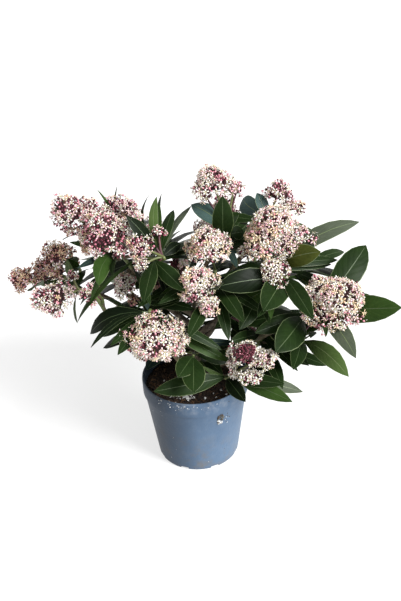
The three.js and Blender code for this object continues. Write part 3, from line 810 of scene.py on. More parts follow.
# Boughs by their fork on the trunk and their tip. A mass sets off from the bough of its own name or
# from the trunk.
boughs = {
    "front_right": (0.07, (28, -38, 134)), "front_left": (0.13, (-20, -42, 166)),
    "far_left": (0.16, (-85, 50, 180)), "right": (0.2, (98, -24, 186)),
    "back_centre": (0.22, (5, 72, 190)), "left": (0.3, (-85, -2, 188)),
    "back_right": (0.32, (62, 76, 185)), "back_left": (0.38, (-50, 74, 185)),
    "right_centre": (0.45, (65, 4, 218)), "left_top": (0.52, (-70, 46, 232)),
    "centre": (0.56, (10, -20, 222)), "left_centre": (0.64, (-36, 4, 224)),
    "right_top": (0.67, (66, 48, 250)),
}
trunkStarts = {"inner_left": 0.46, "top": 1, "low_right": 0.125, "front_middle": 0.37, "back_low": 0.1}
masses = {
    "far_left": [
        shootTo((-183, 85, 198), [(-210, 90, 205, 18)], [(263, 25, 60)], side=(30, 125), highest=0),
        shootTo((-157, 88, 208), [(-181, 95, 215, 17)], [], side=(20, 130), highest=0),
        shootTo(
            (-137, 80, 223), [(-161, 85, 238, 21)],
            [(261, 39, 60), (271, 48, 60)], side=(-10, 140), highest=4),
    ],
    "left": [
        shootTo(
            (-129, 0, 238), [(-159, -10, 237, 25), (-135, 8, 252, 8)],
            [(274, 0, 70)], side=(40, 150), highest=-4),
        shootTo((-104, 4, 224), [(-112, 5, 238, 7.5)], [], side=(-60, 100), highest=0, fork=0.4),
    ],
    "left_top": [
        shootTo((-120, 65, 290), [(-137, 60, 314, 25)], [], side=(30, 150), highest=-10),
        shootTo((-82, 70, 280), [(-90, 75, 302, 26)], [], side=(10, 160), highest=-8),
    ],
    "left_centre": [
        shootTo(
            (-80, 10, 283), [(-93, 5, 309, 28)],
            [(253, -3, 70), (260, 10, 60), (246, -16, 80), (144, -8, 75)],
            side=(-70, 120), highest=-5),
        shootTo(
            (-28, -5, 279), [(-44, -10, 300, 20), (-51, -15, 280, 10)],
            [(89, 36, 80), (103, 31, 85), (79, 19, 75), (65, 16, 90), (70, 2, 65), (252, -14, 72),
             (295, -14, 60)],
            side=(100, 200), highest=10),
    ],
    "inner_left": [
        shootTo(
            (-62, 15, 212), [(-75, 15, 233, 16.5), (-67, 10, 215, 8)],
            [(324, 4, 70), (292, 15, 60)], highest=8),
    ],
    "front_left": [
        shootTo(
            (-46, -48, 232), [(-42, -85, 223, 32)],
            [(165, -26, 85), (223, -1, 85), (160, -40, 75), (240, -13, 70)],
            side=(-60, 150), highest=6),
    ],
    "centre": [
        shootTo((30, 5, 253), [(22, -5, 292, 25)], [(74, 6, 50)], highest=2),
        shootTo(
            (25, -22, 232), [(12, -45, 266, 21), (19, -45, 233, 11)],
            [(240, -15, 60), (275, 41, 65)], highest=0),
        shootTo((-12, 12, 240), [(-15, 20, 254, 8.5)], [], side=(60, 260), highest=0),
    ],
    "top": [
        shootTo(
            (48, 35, 291), [(33, 55, 340, 23), (56, 45, 334, 10.5)],
            [(92, 2, 80), (124, 2, 75), (78, -2, 60), (236, 9, 50)], highest=4),
    ],
    "right_top": [
        shootTo(
            (99, 65, 289), [(110, 75, 313, 18), (133, 65, 297, 9.5)],
            [(116, 3, 55)], side=(50, 270), highest=0),
    ],
    "right_centre": [
        shootTo(
            (100, 12, 252), [(98, 5, 298, 32), (135, 10, 286, 10), (63, 5, 276, 9)],
            [(313, 31, 75), (18, -9, 85), (3, 25, 105), (15, 2, 85)], side=(40, 300), highest=0),
        shootTo(
            (111, -12, 246), [(95, -25, 262, 18)],
            [(203, 9, 80), (192, -21, 78), (224, -20, 85), (247, 1, 75), (286, -5, 80)], highest=5),
    ],
    "right": [
        shootTo(
            (151, -18, 208), [(165, -45, 232, 34)],
            [(44, 31, 95), (324, 15, 100), (288, -10, 85), (274, 1, 75)], highest=8),
    ],
    "low_right": [
        shootTo((82, -10, 172), [(79, -20, 197, 10.5)], [(227, 16, 60)]),
        shootTo(
            (130, -15, 170), [(132, -8, 187, 10.5)],
            [(239, 18, 75), (256, 4, 75), (299, -5, 85)]),
    ],
    "front_right": [
        shootTo(
            (42, -62, 150), [(59, -78, 193, 18), (77, -80, 185, 14), (68, -85, 163, 11)],
            [(199, 4, 92), (324, -1, 80), (325, 14, 72), (358, -14, 85), (285, 8, 55), (127, 0, 55)]),
    ],
    "front_middle": [
        shootTo(
            (0, -58, 178), [],
            [(267, -4, 60), (251, 9, 50), (46, -22, 60)], side=(-80, 200), highest=6),
    ],
    "back_left": [
        shootTo((-82, 112, 210), [(-94, 127, 232, 24)], []),
        shootTo((-34, 116, 222), [(-42, 133, 243, 19)], []),
    ],
    "back_centre": [
        shootTo((4, 112, 226), [(2, 130, 250, 24)], []),
        shootTo((40, 92, 256), [(45, 108, 280, 19)], []),
    ],
    "back_right": [
        shootTo((84, 112, 206), [(92, 128, 229, 24)], []),
        shootTo((142, 84, 206), [(158, 92, 224, 15)], []),
    ],
    "back_low": [
        shootTo((-22, 92, 158), [(-30, 108, 176, 14)], [], highest=4),
        shootTo((60, 90, 150), [(72, 102, 164, 9)], [], highest=4, fork=0.6),
    ],
}


def seeded(seed, item):
    # A repeatable number from 0 to 1 for a place in the count
    value = math.sin(seed * 12.9898 + item * 78.233) * 43758.5453
    return value - math.floor(value)


def heading(compass, rise):
    level = math.cos(math.radians(rise))
    turn = math.radians(compass)
    return Vector((level * math.cos(turn), level * math.sin(turn), math.sin(math.radians(rise))))


def isBetween(compass, sector):
    return (compass - sector[0]) % 360 <= (sector[1] - sector[0]) % 360


def between(start, end, share):
    return start + (end - start) * share


def varied(pair, share):
    # A least value with a share of what can be added to it
    return pair[0] + pair[1] * share


def squareTo(vector, along):
    return (vector - along * vector.dot(along)).normalized()


def crossAxes(axis):
    # Two unit vectors square to an axis, the first as upright as it goes
    level = squareTo(up if abs(axis.z) < 0.9 else Vector((1, 0, 0)), axis)
    return level, axis.cross(level)


def besideAxis(axis, turn):
    # A unit vector square to an axis, at a turn round it
    level, other = crossAxes(axis)
    return level * math.cos(turn) + other * math.sin(turn)


def offAxis(axis, opening, turn):
    # A unit vector tipped off an axis, at a turn round it
    return axis * math.cos(opening) + besideAxis(axis, turn) * math.sin(opening)


def bezierPoint(handles, share):
    points = [Vector(handle) for handle in handles]
    while len(points) > 1:
        points = [one.lerp(other, share) for one, other in zip(points, points[1:])]
    return points[0]


def trunkPoint(share):
    return bezierPoint(trunkShape["handles"], share)


def trunkRadius(share):
    flare = trunkShape["flare"] * math.exp(-share / trunkShape["flareReach"])
    return between(trunkShape["footRadius"], trunkShape["tipRadius"], share) + flare


def boughHandles(fork, tip):
    start, end = trunkPoint(fork), Vector(tip)
    middle = start.lerp(end, boughShape["sagAt"]) - up * (end - start).length * boughShape["sag"]
    return start, middle, end


def massStart(name):
    # Where a mass starts and which way it sets off
    if name in boughs:
        _, before, start = boughHandles(*boughs[name])
    else:
        start, before = trunkPoint(trunkStarts[name]), Vector(trunkShape["handles"][2])
        if trunkStarts[name] < 1:
            return start, squareTo(Vector(masses[name][0]["tip"]) - start, up)
    leaving = (start - before).normalized()
    return start + leaving * stemShape["massGap"], leaving


def reach(start, leaving, end, arriving, count=60):
    # A smooth curve that leaves one point in one direction and arrives at another in a second
    pull = (end - start).length * stemShape["pull"]
    handles = (start, start + leaving * pull, end - arriving * pull, end)
    return [bezierPoint(handles, i / count) for i in range(count + 1)]


def measure(points):
    steps = [(other - one).length for one, other in zip(points, points[1:])]
    return np.concatenate([[0], np.cumsum(steps)])


def makeShoot(given, foot, onward):
    tip = Vector(given["tip"])
    heads = [Vector(place[:3]) for place in given["heads"][:1]]
    axis = (heads[0] - tip if heads else tip - foot).normalized()
    stem = reach(foot, onward, tip, axis)
    points = stem + heads
    lengths = measure(points)
    return {"points": np.array(points), "lengths": lengths, "length": measure(stem)[-1],
            "whole": lengths[-1], "tip": tip, "axis": axis}


def pathPoint(shoot, distance):
    return Vector([np.interp(distance, shoot["lengths"], shoot["points"][:, k]) for k in range(3)])


def insideShoot(shoot, down):
    # A point on the shoot's solid, which runs straight between its rings
    place = (shoot["length"] - down) / shoot["whole"] * stemShape["rings"]
    ring = min(math.floor(place), stemShape["rings"] - 1)
    step = shoot["whole"] / stemShape["rings"]
    return pathPoint(shoot, ring * step).lerp(pathPoint(shoot, (ring + 1) * step), place - ring)


def makeShoots(name):
    # The first shoot leaves the mass's start, and the others fork off it
    start, leaving = massStart(name)
    shoots = []
    for i, given in enumerate(masses[name]):
        foot, onward = start, leaving
        if shoots:
            share = given.get("fork", whorlShape["firstFork"] - whorlShape["forkStep"] * (i - 1))
            foot = insideShoot(shoots[0], shoots[0]["length"] * (1 - share))
            towards = (Vector(given["tip"]) - foot).normalized()
            onward = towards.lerp(leaving, stemShape["onward"]).normalized()
        shoots.append(makeShoot(given, foot, onward))
    return shoots


def leafPlan(shoot, down, direction, length):
    return {"root": insideShoot(shoot, down), "direction": direction, "length": length,
            "axis": shoot["axis"], "facing": shoot["axis"].lerp(up, leafShape["faceUp"])}


def placedLeaves(leaves, shoot):
    plans = []
    for i, (compass, rise, length) in enumerate(leaves):
        down = whorlShape["belowTip"] + i * whorlShape["placedSpacing"]
        run = shoot["tip"] + heading(compass, rise) * length - insideShoot(shoot, down)
        plans.append(leafPlan(shoot, down, run.normalized(), run.length))
    return plans


def ruledLeaves(given, shoot, placed, seed):
    # Leaves at the golden angle round the tip, and wider ones below, where no placed leaf points
    highest = given.get("highest", whorlShape["highest"])
    first = whorlShape["belowTip"] + len(placed) * whorlShape["placedSpacing"]
    plans = []
    for i in range(whorlShape["leaves"] + whorlShape["lowerLeaves"]):
        down, opening = first + i * whorlShape["spacing"], whorlShape["opening"]
        if i >= whorlShape["leaves"]:
            down = whorlShape["lowerStart"] + (i - whorlShape["leaves"]) * whorlShape["lowerSpacing"]
            opening = whorlShape["lowerOpening"]
        if down > shoot["length"] * whorlShape["leafyShare"]:
            continue
        opening = math.radians(opening + whorlShape["openingSpread"] * (seeded(seed, i) - 0.5))
        turn = math.radians(i * whorlShape["goldenAngle"] + 360 * seeded(seed, 99))
        even = offAxis(shoot["axis"], opening, turn)
        compass = math.degrees(math.atan2(even.y, even.x))
        rise = math.degrees(math.asin(max(-1, min(1, even.z))))
        steepest = highest - whorlShape["highestSpread"] * seeded(seed, i + 70)
        direction = heading(compass, min(max(rise, whorlShape["lowest"]), steepest))
        if "side" in given and not isBetween(compass, given["side"]):
            continue
        if any(one["direction"].angle(direction) < math.radians(whorlShape["apart"]) for one in placed):
            continue
        share = between(whorlShape["shortest"], whorlShape["longest"], seeded(seed, i + 50))
        plans.append(leafPlan(shoot, down, direction, leafShape["length"] * share))
    return plans


def turned(vector, axis, angle):
    return Matrix.Rotation(math.radians(angle), 3, axis) @ vector


def fitLeaf(plan, tree):
    # The first of the shifts at which the leaf's solid stands in its mass, if any does
    away = plan["axis"].cross(plan["direction"]).normalized()
    for turn, tip in whorlShape["shifts"]:
        direction = turned(turned(plan["direction"], away, tip), plan["axis"], turn)
        top = squareTo(plan["facing"], direction)
        side = top.cross(direction)
        hits = 0
        for share, fullness in leafShape["stations"]:
            bow = leafShape["arch"] * plan["length"] * 4 * share * (1 - share)
            half = fullness * plan["length"] * leafShape["widthShare"] / 2
            middle = plan["root"] + direction * share * plan["length"] + top * bow
            for point in (middle + side * half, middle - side * half):
                hits += tree.find_nearest(point)[3] < leafShape["near"]
        if hits >= leafShape["cornersIn"]:
            return {**plan, "direction": direction, "top": top, "side": side}
    return None


def solidTree(names):
    points, faces = [], []
    for name in names:
        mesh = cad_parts[name].data
        faces += shifted([face.vertices for face in mesh.polygons], len(points))
        points += [vertex.co / mm for vertex in mesh.vertices]
    return BVHTree.FromPolygons(points, faces)


def growPlant():
    # The shoots of every mass, and the leaves that stand on them
    grown = {}
    for i, name in enumerate(masses):
        shoots = makeShoots(name)
        tree = solidTree(["foliage_" + name])
        leaves = []
        for j, (given, shoot) in enumerate(zip(masses[name], shoots)):
            placed = placedLeaves(given["leaves"], shoot)
            for k, plan in enumerate(placed + ruledLeaves(given, shoot, placed, i * 7 + j + 1)):
                fitted = fitLeaf(plan, tree)
                if fitted:
                    leaves.append({**fitted, "shoot": j, "count": k, "seed": i * 97 + j * 31 + k})
        grown[name] = {"shoots": shoots, "leaves": leaves}
    print("leaves that stand:", sum(len(one["leaves"]) for one in grown.values()))
    return grown


grown = growPlant()

# Bark
barkShape = {
    "trunkSides": 34,
    "trunkSteps": 56,
    "boughSides": 20,
    "boughStep": 3.2,
    "boughSteps": 14,
    "start": 96,
    "below": ((0, 1.12), (2.2, 1.06)),  # the two lowest rings: height over the start, and swelling
    "long": (1.3, 0.06, 0.5),  # how busy the long fissures are across and along, and their strength
    "fine": (3.4, 0.16, 0.28),
    "fissure": 0.34,  # share of the radius that the bark's relief takes up
    "scarEvery": 9.5,
    "scarHeight": 0.35,
    "scarWidth": 0.09,
    "scarFrom": 0.2,
    "rootSpread": 2.1,
    "roots": ((1, 5, 0.7), (0.6, 3, 2.1)),  # strength, number and turn of the bigger and smaller roots
    "rootMiddle": 0.45,
    "rootTop": 101,
    "rootFade": 5,
    "collar": (1.3, 4),  # height and length of the swelling at a bough's foot
    "oldShare": (0.55, 0.2),  # share of a bough with old bark, and how much more it can be
}
# Two colours for old and for young bark, and the dust on both
barkLooks = {
    "barkOld": {"First": (0.060, 0.043, 0.028), "Second": (0.135, 0.105, 0.072)},
    "barkYoung": {"First": (0.085, 0.080, 0.038), "Second": (0.130, 0.105, 0.055)},
}
barkDust = {"Dust": (0.19, 0.18, 0.15), "Scale": 120, "Amount": 0.5}


def barkRelief(line, radii, sides, seed):
    # How far each corner of a limb's rings stands out: long fissures and leaf scars
    lengths = measure(line)

    def rough(turn, length, lift, across, along, strength):
        at = (math.cos(turn) * across, math.sin(turn) * across, length * along + lift)
        return strength * noise.noise(Vector(at))

    def relief(i, k):
        turn = fullTurn * k / sides
        long = rough(turn, lengths[i], seed, *barkShape["long"])
        fine = rough(turn, lengths[i], seed * 3, *barkShape["fine"])
        height = radii[i] * barkShape["fissure"] * (long + fine)
        scars = lengths[i] / barkShape["scarEvery"]
        phase = (scars + seeded(seed, 3)) % 1
        if math.cos(turn - math.floor(scars) * goldenTurn) > barkShape["scarFrom"]:
            height += barkShape["scarHeight"] * math.exp(-((phase - 0.5) / barkShape["scarWidth"]) ** 2)
        return height

    return relief


def makeTrunk(batch):
    steps, sides = barkShape["trunkSteps"], barkShape["trunkSides"]
    shares = [i / steps for i in range(steps + 1)]
    line = [Vector((0, 0, barkShape["start"] + lift)) for lift, swell in barkShape["below"]]
    line += [trunkPoint(share) for share in shares]
    radii = [trunkRadius(0) * swell for lift, swell in barkShape["below"]]
    radii += [trunkRadius(share) for share in shares]
    body = barkRelief(line, radii, sides, 5)

    def rooted(i, k):
        # The start of the roots, which fade out up the trunk
        turn = fullTurn * k / sides
        roots = [strength * max(0, math.cos(turn * n + at)) for strength, n, at in barkShape["roots"]]
        near = math.exp(-max(0, line[i].z - barkShape["rootTop"]) / barkShape["rootFade"])
        return body(i, k) + barkShape["rootSpread"] * (sum(roots) - barkShape["rootMiddle"]) * near

    tube(batch, line, radii, sides, [0] * len(line), rooted)


def makeBough(batch, n, fork, tip):
    handles = boughHandles(fork, tip)
    run = (handles[2] - handles[0]).length
    steps = max(barkShape["boughSteps"], int(run / barkShape["boughStep"]))
    shares = [i / steps for i in range(steps + 1)]
    line = [bezierPoint(handles, share) for share in shares]
    foot = trunkRadius(fork) * boughShape["footShare"]
    high, long = barkShape["collar"]
    radii = [
        between(foot, boughShape["tipRadius"], share) + high * math.exp(-max(0, length - long) / long)
        for share, length in zip(shares, measure(line))]
    old = varied(barkShape["oldShare"], seeded(n, 4))
    slots = [0 if share < old else 1 for share in shares]
    sides = barkShape["boughSides"]
    tube(batch, line, radii, sides, slots, barkRelief(line, radii, sides, n + 11))


def makeBarkFinish(name):
    material, tree, shader, given = newMaterial(name, 0.82)
    place = given["Object"]
    tone = useGroup(tree, twoTone, Vector=place, Scale=150, Sharpness=0.5, **barkLooks[name])
    dusted = useGroup(tree, dusting, Vector=place, Colour=tone["Colour"], **barkDust)
    stretched = addNode(tree, "Mapping", {"Vector": place, "Scale": (1, 1, 0.3)})
    rough = useGroup(tree, relief, Vector=stretched[0], Scale=620, Depth=0.0012)
    fill(tree, shader, {"Base Color": dusted["Colour"], "Normal": rough["Normal"]})
    return material


def makeBark():
    batch = newBatch()
    makeTrunk(batch)
    for n, (fork, tip) in enumerate(boughs.values()):
        makeBough(batch, n, fork, tip)
    return makeObject("barkLimbs", batch, [makeBarkFinish(name) for name in barkLooks])


bark = makeBark()
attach(bark, "root")
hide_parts("trunk", *("bough_" + name for name in boughs))
print("bark laid on")

# Leaves
bladeShape = {
    "stations": (0, 0.09, 0.22, 0.38, 0.55, 0.71, 0.83, 0.925, 1),
    "smallStations": (0, 0.12, 0.32, 0.6, 0.85, 1),
    # share of the length, and share of the full width there
    "outline": (
        (0, 0.05), (0.06, 0.055), (0.12, 0.16), (0.2, 0.41), (0.3, 0.69), (0.42, 0.91), (0.54, 1),
        (0.64, 0.995), (0.76, 0.88), (0.86, 0.65), (0.93, 0.38), (1, 0.02),
    ),
    "columns": (-1, -0.955, -0.03, 0.03, 0.955, 1),
    "strips": ("margin", "blade", "rib", "blade", "margin", "under", "under"),
    "breadth": 0.175,
    # least share of a size, and how much can be added to it
    "breadthVary": (0.92, 0.16),
    "foldVary": (0.45, 1.1),
    "hookVary": (-0.3, 1.3),
    "calm": (0.4, 0.4, 0.5),  # what is left of the hook, sway and twist of a leaf turned one by one
    "fold": 0.2,
    "roll": 0.16,
    "wave": 0.05,
    "keel": 0.011,
    "stalkKeel": 0.7,
    "petiole": 0.95,
    "point": 0.25,
    "hook": 0.07,
    "sway": 0.05,
    "twist": 16,
    "swayFrom": 0.6,
    "waves": (13, 2.1, 9),  # number, how far the two edges are apart, and the spread of their start
    "flatBelow": 1.5,  # half width under which a blade is flat
    "stalkTo": 0.15,
    "keelTaper": 0.6,
    "smoothBelow": 60,
}
# Share of each tone among the leaves that have none of their own
toneShares = {"Dark": 0.5, "Mid": 0.22, "Blue": 0.1, "Light": 0.03, "Olive": 0.03, "Deep": 0.12}
paleTones = ("Light", "Olive", "Pale", "Steel")
front = Vector((0, -0.853, 0.522))

# Leaves that are turned one by one: tone, width, turn away from the front, tip and bow, by their count
# These tones are partly the leaves' own colour and partly painted light: a darker tone where a leaf
# lies in shade or catches too much sun, a paler or blue-grey one where it shines with sheen
leafLooks = {
    ("left_centre", 1): {
        0: ("Dark", 9.5, 55, (-27, 60, 327), (-1, 0)), 1: ("Dark", 8.5, 50, (-44, 68, 323), (-9, 0)),
        2: ("Dark", 14.2, 20, (-15, 65, 304)), 3: ("Pale", 12.0, 45, (7, 73, 303)),
        4: ("Dark", 8.5, 55, (-6, 56, 282)), 5: ("Dark", 20.1, 25, (-50, -71, 261), (2, 0)),
        6: ("Dark", 19.6, 5, (-5, -58, 264)), 7: ("Deep", 16.4, 15, (-101, 52, 229), (0, -2)),
        8: ("Mid", 12.1, 45, (-134, -2, 196), (-3, 0)),
    },
    ("left_centre", 0): {
        0: ("Mid", 19.6, 0, (-98, -57, 278), (-7, 1)), 1: ("Dark", 11.4, 50, (-82, -51, 285)),
        2: ("Mid", 10.4, 45, (-109, -60, 260)), 3: ("Mid", 9.1, 20, (-140, 54, 273)),
        4: ("Dark", 11.3, 30), 7: ("Dark", 9.7, 40, (-44, -60, 249)),
    },
    ("far_left", 2): {1: ("Mid", 12.1, 10, (-143, 33, 262)), 2: ("Olive", 9.2, 30)},
    ("left", 0): {0: ("Mid", 8.6, 55), 2: ("Dark", 8.0, 20), 1: ("Dark", 7.9, 20)},
    ("left", 1): {0: ("Dark", 5.8, 50, (-73, -36, 232))},
    ("left_top", 1): {2: ("Dark", 10.9, 20)},
    ("inner_left", 0): {
        0: ("Dark", 15.4, 10, (5, -36, 226), (0, 2)), 1: ("Dark", 13.5, 20), 7: ("Dark", 10.0, 40),
    },
    ("front_left", 0): {
        0: ("Deep", 21.7, 20, (-119, -28, 195), (-3, 9)),
        1: ("Deep", 10.3, 50, (-108, -106, 230), (0, 7)),
        2: ("Dark", 14.1, 20, (-105, -28, 190), (0, 2)), 3: ("Dark", 16.2, 15, (-80, -107, 218)),
        4: ("Dark", 12.0, 25, (33, -64, 188)), 7: ("Mid", 15.1, 15, (39, -59, 169)),
        9: ("Blue", 9.9, 10, (53, -19, 166)),
    },
    ("centre", 1): {
        0: ("Dark", 16.4, 15, (-4, -72, 213)), 4: ("Dark", 12.8, 30),
        5: ("Dark", 14.0, 15, (41, -67, 203)),
    },
    ("centre", 0): {
        2: ("Dark", 14.5, 20), 4: ("Dark", 11.4, 30), 5: ("Dark", 17.9, 15, (58, -70, 228)),
        7: ("Dark", 14.2, 30), 3: ("Dark", 13.1, 20),
    },
    ("centre", 2): {1: ("Dark", 10.1, 30), 3: ("Dark", 8.6, 30)},
    ("top", 0): {
        1: ("Steel", 21.1, 0, (6, 60, 311), (2, 3)), 2: ("Dark", 14.5, 20, (60, 94, 283)),
        4: ("Dark", 16.4, 10, (75, 96, 277)), 8: ("Dark", 17.7, 10, (76, 84, 269)),
        7: ("Dark", 15.9, 20), 5: ("Blue", 10.1, 30, (54, -26, 273)), 6: ("Dark", 6.5, 40),
    },
    ("right_top", 0): {
        1: ("Dark", 13.5, 20), 0: ("Steel", 24.1, 0, (70, 114, 290), (-5, -3)), 4: ("Dark", 11.8, 30),
    },
    ("right_centre", 0): {
        0: ("Olive", 26.1, 0, (146, -35, 291), (1, 4)), 1: ("Dark", 13.2, 20, (177, 38, 239)),
        2: ("Pale", 20.6, 15, (197, 17, 299), (-1, 9)), 3: ("Dark", 12.4, 25, (170, 37, 234)),
        5: ("Dark", 15.9, 20), 8: ("Dark", 21.2, 0, (54, -52, 206), (3, 0)),
        10: ("Mid", 12.0, 20, (89, -59, 223)), 12: ("Dark", 12.0, 20),
    },
    ("right_centre", 1): {
        0: ("Deep", 28.1, 0, (31, -43, 258), (0, 4)), 1: ("Mid", 23.4, 5, (38, -27, 214)),
        2: ("Dark", 17.0, 20, (73, -77, 237)), 3: ("Dark", 30.8, 0, (79, -81, 247), (-1, 0)),
        4: ("Dark", 21.1, 5, (132, -89, 240), (-1, 1)), 5: ("Steel", 9.9, 5, (102, 88, 227)),
    },
    ("back_right", 1): {2: ("Dark", 13.8, 15, (203, 147, 189), (0, 3)), 9: ("Dark", 14.3, 20)},
    ("right", 0): {
        0: ("Dark", 34.7, 0, (211, 39, 256), (1, 1)), 1: ("Mid", 32.2, 0, (230, -75, 238)),
        2: ("Pale", 21.2, 5, (178, -98, 192), (3, 3)), 3: ("Dark", 10.1, 30, (146, -93, 218)),
        5: ("Dark", 19.0, 10, (71, -51, 200)), 7: ("Dark", 33.6, 0, (92, -91, 200)),
    },
    ("low_right", 1): {
        0: ("Dark", 16.1, 20), 1: ("Dark", 19.2, 10, (111, -88, 173), (1, 0)),
        2: ("Light", 22.8, 5, (172, -89, 161), (2, 6)),
        12: ("Dark", 14.2, 10, (156, -41, 142), (0, -2)),
    },
    ("low_right", 0): {
        1: ("Dark", 13.5, 20, (117, -74, 161)), 0: ("Dark", 15.7, 15, (44, -52, 191)),
        5: ("Dark", 17.2, 15, (100, -83, 143)),
    },
    ("front_right", 0): {
        0: ("Dark", 23.4, 0, (-46, -92, 156)), 1: ("Mid", 18.6, 5, (107, -109, 144), (0, 3)),
        2: ("Dark", 16.3, 10, (99, -102, 164)), 3: ("Pale", 16.4, 10, (125, -65, 124), (0, 2)),
        4: ("Deep", 17.5, 5, (55, -116, 153)), 5: ("Dark", 15.5, 15, (11, -18, 148)),
    },
    ("front_middle", 0): {
        0: ("Dark", 26.8, 0, (-1, -118, 171)), 1: ("Dark", 22.1, 5, (-17, -103, 182)),
        2: ("Dark", 16.5, 15, (41, -18, 141)),
    },
}
# Leaves of the rule that would close a gap, and leaves that the rule doesn't give: mass, shoot, how far
# below its tip, and the look
openings = {
    ("top", 0, 0), ("left", 1, 1), ("inner_left", 0, 3), ("inner_left", 0, 6), ("left", 0, 4),
    ("far_left", 2, 4), ("far_left", 2, 5), ("far_left", 0, 5), ("front_left", 0, 5),
    ("front_left", 0, 6), ("left_top", 0, 0), ("back_right", 1, 6), ("right", 0, 11),
    ("low_right", 1, 6), ("low_right", 0, 4), ("low_right", 0, 9),
}
# The tones of these leaves are partly painted light too: darker tones for leaves in shade, paler and
# blue-grey ones for lit and glossy leaves
moreLeaves = [
    ("left_centre", 1, 4, "Light", 11.2, 10, (-33, 45, 331), (-5, 0)),
    ("left_centre", 1, 6, "Mid", 9.1, 20, (-30, 40, 325)),
    ("left_centre", 1, 5, "Deep", 13.5, 0, (-8, 20, 282), (0, 1)),
    ("left_centre", 1, 9, "Dark", 6.2, 45, (3, 30, 271)),
    ("left_centre", 1, 13, "Dark", 6.2, 45, (12, 25, 256)),
    ("left_centre", 1, 8, "Deep", 19.1, 30, (-65, -4, 333)),
    ("left_centre", 0, 6, "Blue", 9.0, 30, (-124, -20, 279)),
    ("far_left", 2, 20, "Light", 11.4, 10, (-141, 30, 262)),
    ("front_left", 0, 9, "Dark", 12.3, 20, (-88, -95, 224)),
    ("front_left", 0, 12, "Dark", 8.4, 10, (-20, -70, 229)),
    ("centre", 1, 8, "Dark", 11.3, 15, (-38, -30, 242)),
    ("right_top", 0, 5, "Steel", 15.5, 10, (85, 80, 312)),
    ("left_centre", 1, 28, "Steel", 14.8, 5, (-50, -20, 219)),
    ("left_top", 1, 5, "Mid", 4.6, 45, (-103, 80, 327), (2, 0)),
    ("left_top", 1, 8, "Pale", 3.9, 45, (-81, 88, 327), (1, 0)),
    ("left_centre", 1, 20, "Deep", 10.6, 20, (-22, -10, 218)),
    ("top", 0, 8, "Dark", 17.6, 5, (66, 40, 282)), ("top", 0, 24, "Dark", 24.8, 0, (42, 6, 345)),
    ("right_centre", 1, 48, "Dark", 14.7, 10, (36, -35, 236)),
    ("front_right", 0, 6, "Light", 5.5, 0, (10, -60, 164), (0, -3)),
    ("front_middle", 0, 6, "Dark", 10.6, 20, (23, -30, 182)),
    ("right", 0, 5, "Pale", 10.7, 20, (189, -20, 165)),
]


def bladeTone(seed):
    at = seeded(seed, 17)
    for tone, share in toneShares.items():
        if at < share:
            return tone
        at -= share
    return "Dark"


def dressLeaf(leaf, tone, width, away, tip=None, bow=(0, 0)):
    # Gives a leaf its own width, tip and turn about its rib
    direction, length = leaf["direction"], leaf["length"]
    if tip:
        run = Vector(tip) - leaf["root"]
        direction, length = run.normalized(), run.length
    facing = squareTo(front, direction)
    side = facing.cross(direction)
    turn = math.radians(away) * (1 if leaf["top"].dot(side) >= 0 else -1)
    top = facing * math.cos(turn) + side * math.sin(turn)
    return {**leaf, "direction": direction, "length": length, "top": top, "side": top.cross(direction),
            "tone": tone, "width": width, "bow": Vector((bow[0], 0, bow[1]))}


def bladeBend(leaf, seed):
    # How one blade folds, hooks down, sways, twists and waves
    length, dressed = leaf["length"], "width" in leaf
    vary = [seeded(seed, item) for item in range(30, 36)]
    bends = (
        bladeShape["hook"] * varied(bladeShape["hookVary"], vary[1]) * length,
        bladeShape["sway"] * (vary[2] - 0.5) * 2 * length,
        math.radians(bladeShape["twist"]) * (vary[3] - 0.5) * 2,
    )
    half = length * bladeShape["breadth"] * varied(bladeShape["breadthVary"], vary[4])
    if dressed:
        bends, half = [bend * left for bend, left in zip(bends, bladeShape["calm"])], leaf["width"] / 2
    hook, sway, twist = bends
    fold = bladeShape["fold"] * varied(bladeShape["foldVary"], vary[0])
    wave = vary[5] * bladeShape["waves"][2]
    return {"fold": fold, "hook": hook, "sway": sway, "twist": twist, "half": half, "wave": wave}


def bladeRing(leaf, bend, v):
    # The points across a blade at one station: its upper side from edge to edge, and the keel below
    length = leaf["length"]
    shares, widths = zip(*bladeShape["outline"])
    least = bladeShape["point"] if v == 1 else bladeShape["petiole"] * length / leafShape["length"]
    half = max(float(np.interp(v, shares, widths)) * bend["half"], least)
    bow = leafShape["arch"] * length * 4 * v * (1 - v) - bend["hook"] * v ** 3
    middle = (
        leaf["root"] + leaf["direction"] * v * length + leaf["top"] * bow
        + leaf["side"] * bend["sway"] * (v ** 2 - bladeShape["swayFrom"] * v)
        + leaf.get("bow", Vector()) * 4 * v * (1 - v)
    )
    turn = bend["twist"] * v
    side = leaf["side"] * math.cos(turn) + leaf["top"] * math.sin(turn)
    top = leaf["top"] * math.cos(turn) - leaf["side"] * math.sin(turn)
    points = []
    count, apart, _ = bladeShape["waves"]
    for u in bladeShape["columns"]:
        edge = abs(u)
        start = bend["wave"] + (apart if u > 0 else 0)
        wave = bladeShape["wave"] * math.sin(v * count + start) * edge ** 2
        lift = bend["fold"] * edge - bladeShape["roll"] * edge ** 4 + wave
        if half <= bladeShape["flatBelow"]:
            lift = 0
        points.append(middle + side * u * half + top * (half * lift))
    stalk = bladeShape["stalkKeel"] * length / leafShape["length"] if v < bladeShape["stalkTo"] else 0
    keel = length * bladeShape["keel"] * (1 - bladeShape["keelTaper"] * v) + stalk
    return points + [middle - top * keel]


